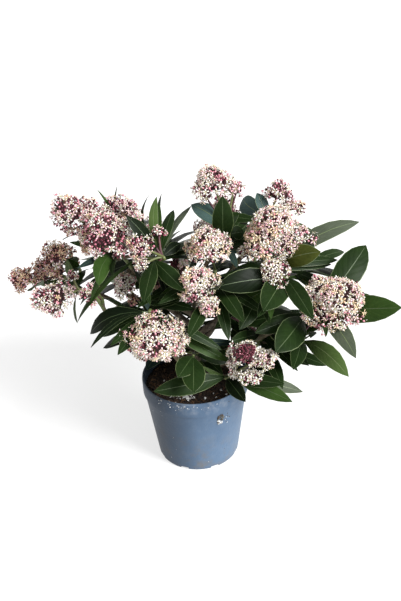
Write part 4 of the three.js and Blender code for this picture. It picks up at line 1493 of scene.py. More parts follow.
def makeBlade(batch, leaf, seed, tone, stations):
    # One closed blade: two halves folded up from the rib, pale margins, a keel below and a short stalk
    bend = bladeBend(leaf, seed)
    across = len(bladeShape["strips"])
    points, uvs, faces, faceSlots = [], [], [], []
    for v in stations:
        points += bladeRing(leaf, bend, v)
        uvs += [((u + 1) / 2, v) for u in (*bladeShape["columns"], 0)]
    names = list(leafFinishes)
    ends = "Pale" if tone in paleTones else ""
    slots = {strip: names.index("leaf" + part) for strip, part in (
        ("margin", "Margin" + ends), ("rib", "Rib" + ends), ("under", "Under"), ("blade", tone))}
    for i in range(len(stations) - 1):
        near, far = i * across, (i + 1) * across
        for k, strip in enumerate(bladeShape["strips"]):
            after = (k + 1) % across
            corners = (near + k, far + k, far + after, near + after)
            added = [corners]
            if strip in ("blade", "under"):  # cut the way that keeps the fold the same on both sides
                cut = ((0, 1, 2), (0, 2, 3)) if k in (1, 5) else ((0, 1, 3), (1, 2, 3))
                added = [tuple(corners[c] for c in part) for part in cut]
            faces += added
            faceSlots += [slots["rib" if i == 0 and strip != "under" else strip]] * len(added)
    last = (len(stations) - 1) * across
    faces += [tuple(range(across)), tuple(last + k for k in reversed(range(across)))]
    addShape(batch, points, faces, faceSlots + [slots["rib"], slots["margin"]], uvs)


def finishLeaves(name, batch):
    leaves = makeObject(name, batch, leafFinishes.values())
    selectOnly(leaves)
    bpy.ops.object.shade_smooth_by_angle(angle=math.radians(bladeShape["smoothBelow"]))
    leaves.select_set(False)
    return leaves


def makeLeaves():
    batch = newBatch()
    for name, part in grown.items():
        for leaf in part["leaves"]:
            look = leafLooks.get((name, leaf["shoot"]), {}).get(leaf["count"])
            if (name, leaf["shoot"], leaf["count"]) in openings:
                continue
            if look:
                leaf = dressLeaf(leaf, *look)
            tone = leaf.get("tone") or bladeTone(leaf["seed"])
            makeBlade(batch, leaf, leaf["seed"], tone, bladeShape["stations"])
    for n, (name, j, down, *look) in enumerate(moreLeaves):
        shoot = grown[name]["shoots"][j]
        plan = leafPlan(shoot, down, shoot["axis"], 1)
        leaf = dressLeaf({**plan, "top": plan["facing"]}, *look)
        makeBlade(batch, leaf, 500 + n, leaf["tone"], bladeShape["stations"])
    return finishLeaves("leaves", batch)


leaves = makeLeaves()
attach(leaves, "root")

# Finer twigs, with small leaves at their ends
twigletShape = {
    "firstDown": 7,
    "spacing": 13,
    "spread": 4,
    "most": 5,
    "woodShare": 0.75,
    "length": (12, 34),
    "opening": (48, 78),
    "radius": (1.25, 0.7),
    "steps": 7,
    "rise": 0.18,
    "leaves": (3, 5),
    "leafLength": (24, 46),
    "leafOpening": (35, 75),
    "leafSetting": 0.6,  # how far each leaf sits below the last
    "leafTests": (0.3, 0.6, 0.8, 1),  # shares of a leaf's length that have to be clear
    "leafSide": (0.45, 0.16),
    "firstTurn": 6.28,
    "upward": 0.5,
    "twigSides": 6,
    "clear": 1.6,
    "twigClear": 2.3,
    "headClear": 1.02,
    "headCover": 0.95,
    "leftOff": (8, 11, 220, 271, 430, 432, 693, 694, 695, 1065, 1273, 1274, 2118, 2750),
}
twigShape = {
    "sides": 10,
    "leastSteps": 10,
    "stepLength": 4,
    "slim": 0.94,
    "nodeEvery": 11.0,
    "nodeSwell": 0.28,
    "nodeWidth": 1.3,
    "woody": (0.35, 0.3),
}
crownReach = (Vector((-224, -145, 123)), Vector((246, 162, 364)))
allSolids = solidTree([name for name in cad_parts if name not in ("pot", "compost")])
headBalls = [
    (Vector(place), radius)
    for shoots in masses.values() for shoot in shoots for *place, radius in shoot["heads"]]


def isFree(point, clear):
    low, high = crownReach
    share = twigletShape["headClear"]
    return (
        all(low[k] < point[k] < high[k] for k in range(3))
        and allSolids.find_nearest(point)[3] > clear
        and all((point - middle).length > radius * share for middle, radius in headBalls)
    )


def beforeHead(point):
    # Whether a point stands before a flower head
    for middle, radius in headBalls:
        run = point - middle
        before = run.dot(front)
        if before > 0 and (run - front * before).length < radius * twigletShape["headCover"]:
            return True
    return False


def smallWhorl(line, seed):
    axis = (line[-1] - line[-2]).normalized()
    whorl = []
    for n in range(round(between(*twigletShape["leaves"], seeded(seed, 8)))):
        opening = math.radians(between(*twigletShape["leafOpening"], seeded(seed, 20 + n)))
        direction = offAxis(axis, opening, n * goldenTurn + seed).normalized()
        length = between(*twigletShape["leafLength"], seeded(seed, 40 + n))
        root = line[-1] - axis * twigletShape["leafSetting"] * n
        top = squareTo(axis.lerp(up, leafShape["faceUp"]), direction)
        side = top.cross(direction)
        tests = [root + direction * length * share for share in twigletShape["leafTests"]]
        along, beside = twigletShape["leafSide"]
        tests += [root + direction * length * along + side * length * beside * k for k in (-1, 1)]
        if all(isFree(point, twigletShape["clear"]) and not beforeHead(point) for point in tests):
            whorl.append(
                {"root": root, "direction": direction, "length": length, "top": top, "side": side})
    return whorl


def everyShoot():
    # Every shoot of the crown, with the count of its mass and its own count there
    for i, part in enumerate(grown.values()):
        for j, shoot in enumerate(part["shoots"]):
            yield i, j, shoot


def growTwiglets():
    # Short side twigs off each shoot, by the whorl rule, kept clear of the solids round them
    twiglets = []
    for i, j, shoot in everyShoot():
        for k in range(twigletShape["most"]):
            seed = i * 211 + j * 53 + k + 7
            down = twigletShape["firstDown"] + k * twigletShape["spacing"]
            down += twigletShape["spread"] * seeded(seed, 1)
            if down > shoot["length"] * twigletShape["woodShare"]:
                break
            opening = math.radians(between(*twigletShape["opening"], seeded(seed, 2)))
            turn = k * goldenTurn + twigletShape["firstTurn"] * seeded(i * 7 + j, 5)
            out = offAxis(shoot["axis"], opening, turn)
            foot = insideShoot(shoot, down)
            length = between(*twigletShape["length"], seeded(seed, 3))
            end = foot + out * length + up * length * twigletShape["rise"]
            arriving = (out + up * twigletShape["upward"]).normalized()
            line = reach(foot, out, end, arriving, twigletShape["steps"])
            clear = all(isFree(point, twigletShape["twigClear"]) for point in line[3:])
            if clear and seed not in twigletShape["leftOff"]:
                twiglets.append({"line": line, "leaves": smallWhorl(line, seed), "seed": seed})
    print("side twigs:", len(twiglets), "small leaves:", sum(len(one["leaves"]) for one in twiglets))
    return twiglets


def addShoot(batch, shoot, foot, woody):
    # A shoot, swollen at its nodes, green towards its tip
    steps = max(twigShape["leastSteps"], int(shoot["length"] / twigShape["stepLength"]))
    downs = [shoot["length"] * n / steps for n in range(steps + 1)]
    radii = []
    for down in downs:
        past = down % twigShape["nodeEvery"] - twigShape["nodeEvery"] / 2
        node = math.exp(-(past / twigShape["nodeWidth"]) ** 2)
        radius = between(foot, stemShape["tipRadius"], down / shoot["whole"])
        radii.append(radius * twigShape["slim"] + twigShape["nodeSwell"] * node)
    slots = [0 if n / steps < woody else 1 for n in range(steps + 1)]
    tube(batch, [pathPoint(shoot, down) for down in downs], radii, twigShape["sides"], slots)


def makeTwigs():
    # The shoots themselves, and the side twigs that leave them
    batch = newBatch()
    for i, j, shoot in everyShoot():
        foot = stemShape["forkRadius" if j else "footRadius"]
        addShoot(batch, shoot, foot, varied(twigShape["woody"], seeded(i * 5 + j, 6)))
    steps = twigletShape["steps"]
    for twiglet in twiglets:
        radii = [between(*twigletShape["radius"], n / steps) for n in range(steps + 1)]
        tube(batch, twiglet["line"], radii, twigletShape["twigSides"], [1] * len(radii))
    return makeObject("twigs", batch, [stalkFinishes["stemOld"], stalkFinishes["stemYoung"]])


def makeSmallLeaves():
    batch = newBatch()
    for twiglet in twiglets:
        for n, leaf in enumerate(twiglet["leaves"]):
            seed = twiglet["seed"] * 3 + n
            makeBlade(batch, leaf, seed, bladeTone(seed), bladeShape["smallStations"])
    return finishLeaves("smallLeaves", batch)


twiglets = growTwiglets()
twigs = makeTwigs()
smallLeaves = makeSmallLeaves()
for piece in (twigs, smallLeaves):
    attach(piece, "root")
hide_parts(*("foliage_" + name for name in masses))
print("leaves and twigs grown")

# Flower heads
floretShape = {
    "petalLength": 4.4,
    "petalWidth": 2.2,
    "petalRise": 1.1,
    # share of the length, of the width and of the rise at each ring of a petal
    "petalRings": ((0.12, 0.22, 0), (0.45, 0.82, 0.55), (0.8, 0.9, 0.85), (1.0, 0.3, 0.8)),
    "petalOver": 0.12,  # a petal's thickness over and under its middle surface
    "petalUnder": 0.16,
    "petalTurn": (0.12, 5),  # how much the petals of a flower differ, and how fast from one to the next
    "petalVary": (0.4, 3.7),
    "kinds": ((4, 0.7), (4, 1.7), (5, 1.0)),  # petals, and how far they lift
    "kindShares": (0.5, 0.3, 0.2),
    "heart": (0.9, 1.1),  # radius, and height as a share of it
    "stamenReach": 2.4,
    "stamenRise": 1.8,
    "stamenHalf": 0.16,
    "stamenFoot": (0.5, 0.3),
    "anther": 0.52,
    "antherLean": 0.4,
    "antherWide": 0.8,
    "antherTurn": 2.094,
    "bud": 1.4,
    "budRings": ((-0.75, 0.55), (-0.05, 1.0), (0.7, 0.78)),  # height and radius, as shares of the size
    "budEnds": (-1.15, 1.2),
    "budSlim": 0.92,
}
bloomShape = {
    "crownMiddle": 12,  # where the blossom is parted into two meshes
    "skinRadius": 0.86,
    "innerArea": 26.0,
    "lowest": -0.5,
    "patch": 0.2,
    "swell": 1.11,
    "lumps": 0.12,
    "ragged": 0.12,  # how much a head's lower edge wavers
    "noiseEdge": 3,
    "noiseSwell": 3.2,
    "sunk": (2.2, 0.12),  # most, in millimetres and as a share of the head's radius
    "jitter": (2.0, 0.14),
    "tilt": 0.6,
    "upright": 0.12,
    "aside": 0.06,
    "ripe": (0.5, 0.9),
    "ripeSpread": 0.18,
    "closedShare": 0.8,
    "stalkFrom": 0.55,
    "stalkRadii": (0.5, 0.42),
    "stalkBack": 0.4,
    "fewest": 14,
    "fewestInner": 10,
    "innerSkin": 0.7,
    "innerEdge": 0.1,
    "innerDried": 0.6,
    "innerTurn": 1.7,
    "size": (0.84, 1.1),
    "strayBuds": 0.7,
    "straySide": 4,
    "strayAlong": (-1.5, 1.2),
    "straySize": (0.7, 1.1),
    "budAlong": (-0.8, 1.2),
    "bunch": (3, 3, 4),
    "closedBunch": (4, 5, 6),
    "budSpread": 2.8,
    "budSize": (0.72, 1.15),
    "innerSize": (0.7, 1.05),
    "front": Vector((0, -0.85, 0.52)),
    "ringed": 0.42,
    "coreShare": 0.7,
    "coreBelow": 0.8,
    "coreLumps": (0.12, 4),
    "driedEdge": (-2, 0.7),  # how fast the dried flowers set in towards -X, and where
    "bigHead": 14,
    "innerShare": 0.83,
    "spin": 6.28,
    "firstSpray": 400,  # the seed of the first spray
    "sprayStretch": (1, 1, 0.85),
}


def headTone(opened, petals, buds, area, heart=0):
    # The share of open flowers, the shares of the petal and bud finishes, and the skin area for each
    return {"open": opened, "petals": petals, "buds": buds, "area": area, "heart": heart}


headTones = {
    "ivory": headTone(0.80, (0.70, 0.22, 0.08, 0), (0.45, 0.25, 0.30, 0), 35),
    "cream": headTone(0.82, (0.66, 0.25, 0.09, 0), (0.48, 0.32, 0.20, 0), 27.5),
    "apricot": headTone(0.82, (0.52, 0.28, 0.20, 0), (0.52, 0.26, 0.22, 0), 30),
    "white": headTone(0.95, (0.94, 0.06, 0, 0), (0.18, 0.35, 0.47, 0), 38),
    "blush": headTone(0.62, (0.50, 0.47, 0.03, 0), (0.50, 0.17, 0.33, 0), 48),
    "peach": headTone(0.74, (0.38, 0.26, 0.36, 0), (0.46, 0.31, 0.18, 0.05), 35),
    "dusty": headTone(0.64, (0.34, 0.50, 0.08, 0.08), (0.44, 0.10, 0.38, 0.08), 50),
    "tan": headTone(0.70, (0.06, 0.18, 0.20, 0.56), (0.16, 0.06, 0.22, 0.56), 35, heart=1),
    "crimson": headTone(0, (1, 0, 0, 0), (0.04, 0, 0.96, 0), 33),
    "ringed": headTone(0.95, (0.94, 0.06, 0, 0), (0.06, 0, 0.94, 0), 46),
}
toneOfHead = {
    "far_left": ("tan", "tan", "tan"), "left": ("blush", "dusty", "dusty"),
    "left_top": ("blush", "dusty"), "left_centre": ("blush", "dusty", "white"),
    "inner_left": ("cream", "tan"), "front_left": ("ivory",),
    "centre": ("cream", "cream", "cream", "crimson"), "top": ("cream", "blush"),
    "right_top": ("blush", "blush"), "right_centre": ("cream", "blush", "white", "white"),
    "right": ("apricot",), "low_right": ("cream", "cream"),
    "front_right": ("ringed", "white", "white"), "back_left": ("blush", "blush"),
    "back_centre": ("cream", "blush"), "back_right": ("cream", "dusty"),
    "back_low": ("cream", "blush"),
}
# How far a head stands off its solid and how it is stretched
headFits = {
    ("front_left", 0, 0): ((0, 0, -1), (1.12, 1.0, 0.76)),
    ("right", 0, 0): ((-2, 0, 1), (1.17, 1.0, 0.86)), ("centre", 0, 0): ((1, 0, 0), (1.0, 1.0, 0.8)),
    ("centre", 1, 0): ((-3, 0, 0), (1.12, 1, 0.96)), ("left", 0, 0): ((1, 0, -3), (1.1, 1, 0.78)),
    ("left_top", 0, 0): ((0, 0, -4), (1.02, 1, 0.95)),
    ("left_top", 1, 0): ((8, 0, -2), (1.0, 1, 0.7)),
    ("left_centre", 1, 0): ((-9, 0, -3), (0.78, 0.9, 0.8)),
    ("left_centre", 1, 1): ((-1, 0, -4), (1, 1, 1)),
    ("left_centre", 0, 0): ((2, 0, 0), (1.02, 1, 0.97)),
    ("front_right", 0, 0): ((0, 0, 0), (0.92, 0.9, 0.78)),
    ("front_right", 0, 1): ((1, 0, 0), (1.1, 1, 0.7)),
    ("front_right", 0, 2): ((-4, 0, 1), (1.25, 1, 0.6)),
    ("right_centre", 0, 1): ((8, 0, -3), (0.75, 0.8, 0.85)),
    ("top", 0, 0): ((0, 0, 0), (1.05, 1, 0.95)), ("right_centre", 0, 2): ((1, 0, -3), (1, 1, 1)),
    ("back_centre", 0, 0): ((27, 0, -12), (0.85, 0.85, 0.85)),
    ("back_right", 1, 0): ((-9, 0, -9), (0.9, 0.9, 0.8)),
}
# Smaller sprays beside the heads: mass, shoot, middle, radius and tone
sprays = [
    ("left_top", 0, (-110, 58, 318), 10.5, "dusty"), ("left_top", 0, (-137, 50, 290), 6.4, "dusty"),
    ("left_top", 0, (-113, 40, 313), 9.2, "blush"), ("left_top", 1, (-65, 50, 318), 10.4, "blush"),
    ("left_centre", 0, (-114, 12, 302), 9.1, "peach"),
    ("left_centre", 0, (-76, -8, 292), 10.1, "blush"),
    ("left_centre", 0, (-100, -10, 288), 3.9, "white"),
    ("left_centre", 0, (-65, 0, 319), 8.9, "white"), ("left_centre", 1, (-32, 8, 303), 9.6, "blush"),
    ("left_centre", 1, (-54, 14, 320), 5.6, "blush"),
    ("left_centre", 1, (-58, -6, 303), 8.9, "blush"), ("left_centre", 1, (-38, 0, 240), 4.2, "tan"),
    ("centre", 2, (-6, 6, 262), 4.6, "white"), ("left", 1, (-123, 0, 234), 5.8, "dusty"),
    ("front_left", 0, (-9, -62, 205), 6.2, "white"), ("front_left", 0, (-13, -55, 214), 4.5, "white"),
    ("front_left", 0, (-15, -70, 195), 6.2, "white"),
    ("front_left", 0, (-30, -80, 195), 5.6, "white"), ("centre", 1, (-4, -40, 248), 7.8, "peach"),
    ("centre", 1, (25, -45, 240), 6.7, "white"), ("top", 0, (24, 48, 325), 7.5, "blush"),
    ("top", 0, (61, 50, 336), 8.0, "blush"), ("right_top", 0, (115, 60, 301), 8.2, "white"),
    ("right_top", 0, (126, 62, 304), 5.9, "blush"), ("right_centre", 0, (131, 4, 298), 6.2, "blush"),
    ("right_centre", 0, (83, -12, 286), 10.1, "peach"),
    ("right_centre", 0, (105, -10, 276), 6.8, "white"),
    ("front_right", 0, (43, -60, 180), 4.5, "white"),
    ("front_right", 0, (43, -68, 171), 5.1, "white"),
    ("front_right", 0, (45, -72, 159), 4.5, "white"),
    ("front_right", 0, (89, -66, 177), 5.7, "white"), ("far_left", 1, (-193, 92, 202), 9.4, "tan"),
    ("left_centre", 0, (-114, 14, 284), 8.0, "tan"), ("left", 1, (-115, 2, 221), 7.0, "dusty"),
    ("left", 0, (-138, 12, 230), 7.0, "dusty"), ("left_top", 0, (-123, 48, 289), 7.6, "dusty"),
    ("far_left", 2, (-145, 84, 228), 9.9, "tan"), ("far_left", 2, (-161, 84, 216), 8.7, "tan"),
    ("low_right", 0, (92, -16, 199), 4.7, "white"), ("low_right", 0, (40, -16, 205), 3.2, "white"),
    ("low_right", 1, (142, -12, 187), 5.9, "peach"), ("right", 0, (132, -40, 245), 6.2, "white"),
    ("right", 0, (133, -44, 234), 5.0, "white"), ("right", 0, (144, -30, 253), 6.7, "cream"),
]
# Heads with dried flowers on their -X side, and how many
driedSides = {
    ("right_centre", 0, 0): 0.85, ("centre", 0, 0): 0.5, ("centre", 1, 0): 0.65,
    ("left_centre", 0, 0): 0.6, ("front_left", 0, 0): 0.4,
}


def makePetal(turn, lift):
    # A thin closed petal, wider past its middle, that starts at the flower's heart
    points, faces = [], []
    for share, breadth, rise in floretShape["petalRings"]:
        out = share * floretShape["petalLength"]
        height = rise * floretShape["petalRise"] * lift
        half = breadth * floretShape["petalWidth"] / 2
        over, under = height + floretShape["petalOver"], height - floretShape["petalUnder"]
        points += [(out, -half, over), (out, half, over), (out, 0, under)]
    for i in range(3):
        for k in range(3):
            after = (k + 1) % 3
            faces.append((i * 3 + k, (i + 1) * 3 + k, (i + 1) * 3 + after, i * 3 + after))
    faces += [(0, 1, 2), (11, 10, 9)]
    cos, sin = math.cos(turn), math.sin(turn)
    return [(x * cos - y * sin, x * sin + y * cos, z) for x, y, z in points], faces


def makeFloret(petals, lift):
    points, faces = [], []
    for i in range(petals):
        rules = floretShape["petalTurn"], floretShape["petalVary"]
        aside, more = (most * math.sin(i * pace) for most, pace in rules)
        added, few = makePetal(fullTurn * i / petals + aside, lift * (1 + more))
        faces += shifted(few, len(points))
        points += added
    return {"points": points, "faces": faces, "slots": [0] * len(faces)}


def makeHeart(petals):
    # The green heart, with a stamen between each two petals
    size, high = floretShape["heart"]
    turns = [k * math.pi / 2 for k in range(4)]
    points = [(0, 0, size * high)]
    points += [(math.cos(turn) * size, math.sin(turn) * size, 0) for turn in turns]
    faces = [(0, 1 + k, 1 + (k + 1) % 4) for k in range(4)] + [(4, 3, 2, 1)]
    slots = [2] * 5
    size = floretShape["anther"]
    footOut, footUp = floretShape["stamenFoot"]
    for i in range(petals):
        turn = fullTurn * (i + 0.5) / petals
        out = Vector((math.cos(turn), math.sin(turn), 0))
        tip = out * floretShape["stamenReach"] + up * floretShape["stamenRise"]
        across = out.cross(up)
        foot, half = out * footOut + up * footUp, across * floretShape["stamenHalf"]
        faces += shifted(((0, 1, 3), (1, 2, 3), (2, 0, 3), (2, 1, 0)), len(points))
        points += [foot + half, foot - half, foot + up * footUp, tip]
        base = len(points)
        end = (out * floretShape["antherLean"] + up) * size
        points += [tip + end, tip - end]
        for k in range(3):
            turn = k * floretShape["antherTurn"]
            side = across * math.cos(turn) + out * math.sin(turn)
            points.append(tip + side * size * floretShape["antherWide"])
        for k in range(3):
            one, other = base + 2 + k, base + 2 + (k + 1) % 3
            faces += [(base, one, other), (base + 1, other, one)]
        slots += [1] * 4 + [0] * 6
    return {"points": points, "faces": faces, "slots": slots}


def makeBud():
    # A small egg on a short neck
    size = floretShape["bud"]
    foot, top = floretShape["budEnds"]
    points = [(0, 0, foot * size)]
    for height, radius in floretShape["budRings"]:
        for k in range(6):
            turn = k * math.pi / 3 + height
            x, y = (
                wave(turn) * radius * size * floretShape["budSlim"] for wave in (math.cos, math.sin))
            points.append((x, y, height * size))
    points.append((0, 0, top * size))
    faces = []
    for k in range(6):
        after = (k + 1) % 6
        faces += [(0, 1 + after, 1 + k), (1 + k, 1 + after, 7 + after, 7 + k),
                  (7 + k, 7 + after, 13 + after, 13 + k), (13 + k, 13 + after, 19)]
    return {"points": points, "faces": faces, "slots": [0] * len(faces)}


def headLobes(radius, axis, seed):
    lobes = [(axis * radius * headShape["topOut"], radius * headShape["topRadius"])]
    for i in range(headShape["ringLobes"]):
        turn = (i + seeded(seed, i) * headShape["ringSpread"]) / headShape["ringLobes"] * fullTurn
        at = besideAxis(axis, turn) * radius * headShape["ringOut"]
        at -= axis * radius * headShape["ringSink"]
        uneven = 1 + headShape["unevenness"] * (seeded(seed, i + 20) - 0.5)
        lobes.append((at, radius * headShape["ringRadius"] * uneven))
    return lobes


def lobeReach(head, ray):
    # How far a head goes out along a ray from its middle
    far = head["radius"] * headShape["core"]
    for at, size in head["lobes"]:
        nearest = at.dot(ray)
        inside = size ** 2 - at.length_squared + nearest ** 2
        if inside > 0:
            far = max(far, nearest + math.sqrt(inside))
    return far


def evenRays(count, seed):
    # Directions spread evenly over a ball
    rays = []
    for i in range(count):
        z = 1 - 2 * (i + 0.5) / count
        level = math.sqrt(1 - z * z)
        turn = i * goldenTurn + seed
        rays.append(Vector((level * math.cos(turn), level * math.sin(turn), z)))
    return rays


def newHead(shoot, k, middle, radius, stretch, tone, seed, dried=0):
    foot = shoot["tip"] if k == 0 else insideShoot(shoot, stalkShape["below"])
    out = (middle - foot).normalized()
    axis = out.lerp(up, headShape["faceUp"]).normalized()
    neck = [foot, middle]
    if k:
        leaving = shoot["axis"].lerp(out, stalkShape["outward"]).normalized()
        neck = reach(foot, leaving, middle, out, stalkShape["steps"])
    return {"middle": middle, "radius": radius, "axis": axis, "neck": neck, "seed": seed,
            "stretch": Vector(stretch), "lobes": headLobes(radius, axis, seed), "tone": tone,
            "dried": dried, "patch": Vector((seed * 3.1, 0, 0))}


def growHeads():
    heads = []
    for i, (name, shoots) in enumerate(masses.items()):
        tones = iter(toneOfHead.get(name, ()))
        for j, given in enumerate(shoots):
            for k, (*place, radius) in enumerate(given["heads"]):
                shift, stretch = headFits.get((name, j, k), ((0, 0, 0), (1, 1, 1)))
                heads.append(newHead(
                    grown[name]["shoots"][j], k, Vector(place) + Vector(shift), radius, stretch,
                    next(tones, "blush"), (i + 1) * 10 + j * 3 + k, driedSides.get((name, j, k), 0)))
    for n, (name, j, place, radius, tone) in enumerate(sprays):
        heads.append(newHead(
            grown[name]["shoots"][j], 1, Vector(place), radius, bloomShape["sprayStretch"], tone,
            bloomShape["firstSpray"] + n))
    return heads


def pick(shares, value):
    for i, share in enumerate(shares):
        if value < share:
            return i
        value -= share
    return 0


def facingPlace(point, out, size, spin):
    # A place whose own Z looks along a direction
    side = besideAxis(out, spin)
    return placeAt(point, Matrix((side, out.cross(side), out)).transposed(), size)


def headPoint(head, ray, *factors):
    # A point of a head, out along a ray by the product of the factors and stretched with the head
    run = ray * head["stretch"]
    for factor in factors:
        run *= factor
    return head["middle"] + run


def strayed(start, ray, most, chance):
    # A point or direction moved at random square to a ray
    level, other = crossAxes(ray)
    return start + level * chance.uniform(-most, most) + other * chance.uniform(-most, most)


def addOpen(head, tone, ray, point, tilt, spin, chance):
    # One open flower, often with a stray bud beside it
    kind = pick(floretShape["kindShares"], chance.random())
    colour = pick(tone["petals"], chance.random())
    slope, start = bloomShape["driedEdge"]
    if chance.random() < head["dried"] * max(0, min(1, slope * ray.x - start)):
        colour = 2
    place = facingPlace(point, tilt, chance.uniform(*bloomShape["size"]), spin)
    petalPlaces[kind, colour].append(place)
    heartPlaces[kind, tone["heart"]].append(place)
    if chance.random() < bloomShape["strayBuds"]:
        stray = strayed(Vector(), ray, bloomShape["straySide"], chance)
        stray += ray * chance.uniform(*bloomShape["strayAlong"])
        colour = pick(tone["buds"], chance.random())
        size = chance.uniform(*bloomShape["straySize"])
        budPlaces[colour].append(facingPlace(point + stray, tilt, size, spin))


def addBuds(tone, ray, point, tilt, spin, closed, chance):
    # A bunch of buds, smaller and fuller on a closed part of a head
    for _ in range(chance.choice(bloomShape["closedBunch" if closed else "bunch"])):
        spread = strayed(Vector(), ray, bloomShape["budSpread"], chance)
        colour = pick(tone["buds"], chance.random())
        size = chance.uniform(*bloomShape["budSize"]) * (bloomShape["closedShare"] if closed else 1)
        at = point + spread + tilt * chance.uniform(*bloomShape["budAlong"])
        budPlaces[colour].append(facingPlace(at, tilt, size, spin))


def coverHead(head, tone, area, chance):
    # Open flowers and bunches of buds over a head, each on a fine stalk
    radius, axis, patch = head["radius"], head["axis"], head["patch"]
    limits = bloomShape["sunk"], bloomShape["jitter"]
    sunk, jitter = (min(most, share * radius) for most, share in limits)
    for ray in evenRays(max(bloomShape["fewest"], int(area / tone["area"])), head["seed"]):
        ragged = bloomShape["ragged"] * noise.noise(ray * bloomShape["noiseEdge"] + patch)
        if ray.dot(axis) < bloomShape["lowest"] + ragged:
            continue
        lumps = bloomShape["lumps"] * noise.noise(ray * bloomShape["noiseSwell"] + patch)
        far = lobeReach(head, ray) * (bloomShape["swell"] + lumps)
        out = far - sunk + chance.uniform(-1, 1) * jitter
        tilt = strayed(ray, ray, bloomShape["tilt"], chance) + axis * bloomShape["upright"]
        tilt.normalize()
        point = headPoint(head, strayed(ray, ray, bloomShape["aside"], chance), out)
        ripe = varied(bloomShape["ripe"], noise.noise(point * bloomShape["patch"] + patch))
        spin = chance.uniform(0, bloomShape["spin"])
        fore = ray.dot(bloomShape["front"]) > bloomShape["ringed"]
        closed = tone["open"] == 0 or (head["tone"] == "ringed" and fore)
        if closed:
            point = headPoint(head, ray, far, bloomShape["closedShare"])
        if ripe < tone["open"] + bloomShape["ripeSpread"] * chance.uniform(-1, 1) and not closed:
            addOpen(head, tone, ray, point, tilt, spin, chance)
        else:
            addBuds(tone, ray, point, tilt, spin, closed, chance)
        foot = headPoint(head, ray, far, bloomShape["stalkFrom"])
        stalk = [foot, point - tilt * bloomShape["stalkBack"]]
        tube(stalkBatch, stalk, bloomShape["stalkRadii"], 3, [chance.randrange(2)] * 2)


def fillHead(head, tone, area, chance):
    # Darker buds deeper in
    count = int(area * bloomShape["innerSkin"] / bloomShape["innerArea"])
    rays = evenRays(max(bloomShape["fewestInner"], count), head["seed"] + bloomShape["innerTurn"])
    for ray in rays:
        if ray.dot(head["axis"]) < bloomShape["lowest"] - bloomShape["innerEdge"]:
            continue
        point = headPoint(head, ray, lobeReach(head, ray), bloomShape["innerShare"])
        colour = 3 if tone["heart"] and chance.random() < bloomShape["innerDried"] else 2
        budPlaces[colour].append(facingPlace(point, ray, chance.uniform(*bloomShape["innerSize"]), 0))


def addCore(head, shape):
    # The dark inside of a head, and the neck that carries it
    points = []
    high, busy = bloomShape["coreLumps"]
    for corner in shape["points"]:
        ray = Vector(corner).normalized()
        lump = 1 + high * noise.noise(Vector(corner) * busy + head["patch"])
        above = ray.dot(head["axis"]) > bloomShape["lowest"]
        share = bloomShape["coreShare"] * (1 if above else bloomShape["coreBelow"])
        points.append(headPoint(head, ray, lobeReach(head, ray), share, lump))
    addShape(coreBatch, points, shape["faces"], [2] * len(shape["faces"]))
    steps = len(head["neck"]) - 1
    ends = stalkShape["footRadius"], stalkShape["tipRadius"]
    radii = [between(*ends, n / steps) for n in range(steps + 1)]
    slot = 0 if head["seed"] >= bloomShape["firstSpray"] else 1
    tube(coreBatch, head["neck"], radii, stalkShape["sides"], [slot] * len(radii))


def makeBlossom():
    ball, smallBall = roughBall(3, 0.25, 3), roughBall(5, 0.25, 2)
    for head in growHeads():
        tone = headTones[head["tone"]]
        chance = random.Random(head["seed"])
        area = 4 * math.pi * (head["radius"] * bloomShape["skinRadius"]) ** 2
        coverHead(head, tone, area, chance)
        fillHead(head, tone, area, chance)
        addCore(head, ball if head["radius"] > bloomShape["bigHead"] else smallBall)


def makeHalves(name, kinds, finishes, **options):
    # Hundreds of copies as one mesh for each half of the crown, which keeps both light
    halves = []
    for side in ("Left", "Right"):
        batch = newBatch()
        for shape, places, slots in kinds:
            isLeft = [place[0, 3] < bloomShape["crownMiddle"] for place in places]
            few = [place for place, left in zip(places, isLeft) if left == (side == "Left")]
            if few:
                addCopies(batch, shape, few, slots)
        halves.append(makeObject(name + side, batch, finishes.values(), **options))
    return halves


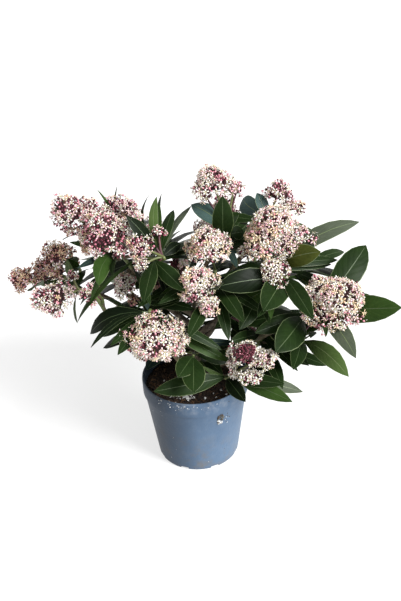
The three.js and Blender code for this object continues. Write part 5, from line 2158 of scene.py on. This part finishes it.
# Places by kind of flower and colour, and buds by colour
petalPlaces = {(kind, colour): [] for kind in range(3) for colour in range(len(petalFinishes))}
heartPlaces = {(kind, dried): [] for kind in range(3) for dried in range(2)}
budPlaces = [[] for _ in budFinishes]
stalkBatch, coreBatch = newBatch(), newBatch()
makeBlossom()
kinds = floretShape["kinds"]
petals = makeHalves(
    "petals",
    [(makeFloret(*kinds[kind]), places, [colour])
     for (kind, colour), places in petalPlaces.items()],
    petalFinishes)
hearts = makeHalves(
    "flowerHearts",
    [(makeHeart(kinds[kind][0]), places, [3 if dried else 0, 1, 2])
     for (kind, dried), places in heartPlaces.items()],
    heartFinishes, smooth=False)
buds = makeHalves(
    "flowerBuds", [(makeBud(), places, [colour]) for colour, places in enumerate(budPlaces)],
    budFinishes)
coreFinishes = [stalkFinishes[name] for name in ("stalkDark", "stalkGreen", "headShade")]
stalks = makeObject("flowerStalks", stalkBatch, coreFinishes[:2])
cores = makeObject("headCores", coreBatch, coreFinishes)
for piece in (*petals, *hearts, *buds, stalks, cores):
    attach(piece, "root")
print("flower heads in place")

stageShape = {
    "floor": 40.0,
    "floorTone": 0.36,
    "floorGlow": 0.68,
    "sunStrength": 6.0,
    "sunFrom": (0.72, -0.52, 0.66),
    "sunSoftness": 28,
    "sky": 0.62,
}


def makeStage():
    # A plain pale floor with a faint glow of its own, which keeps the shadows on it light
    half = stageShape["floor"] / 2
    batch = newBatch()
    corners = [(-half, -half, 0), (half, -half, 0), (half, half, 0), (-half, half, 0)]
    addShape(batch, np.array(corners) / mm, [(0, 1, 2, 3)], [0])
    tone = stageShape["floorTone"]
    finish = makeFinish(
        "floorPale", (tone,) * 3, (tone * 0.98,) * 3, 0.95, depth=0.0, Specular_IOR_Level=0.0,
        Emission_Color=(1, 1, 1, 1), Emission_Strength=stageShape["floorGlow"])
    makeObject("floor", batch, [finish])


def makeSun():
    light = bpy.data.lights.new("softSun", "SUN")
    light.energy = stageShape["sunStrength"]
    light.angle = math.radians(stageShape["sunSoftness"])
    lamp = bpy.data.objects.new("softSun", light)
    bpy.context.collection.objects.link(lamp)
    place = Vector(stageShape["sunFrom"])
    lamp.matrix_world = Matrix.Translation(place) @ lookAlong(-place)


def makeSky():
    world = bpy.data.worlds.new("softSky")
    world.use_nodes = True
    background = world.node_tree.nodes["Background"]
    fill(world.node_tree, background, {"Color": (1, 1, 1, 1), "Strength": stageShape["sky"]})
    bpy.context.scene.world = world
    bpy.context.scene.view_settings.view_transform = "Standard"


makeStage()
makeSun()
makeSky()
print("stage and lights set")
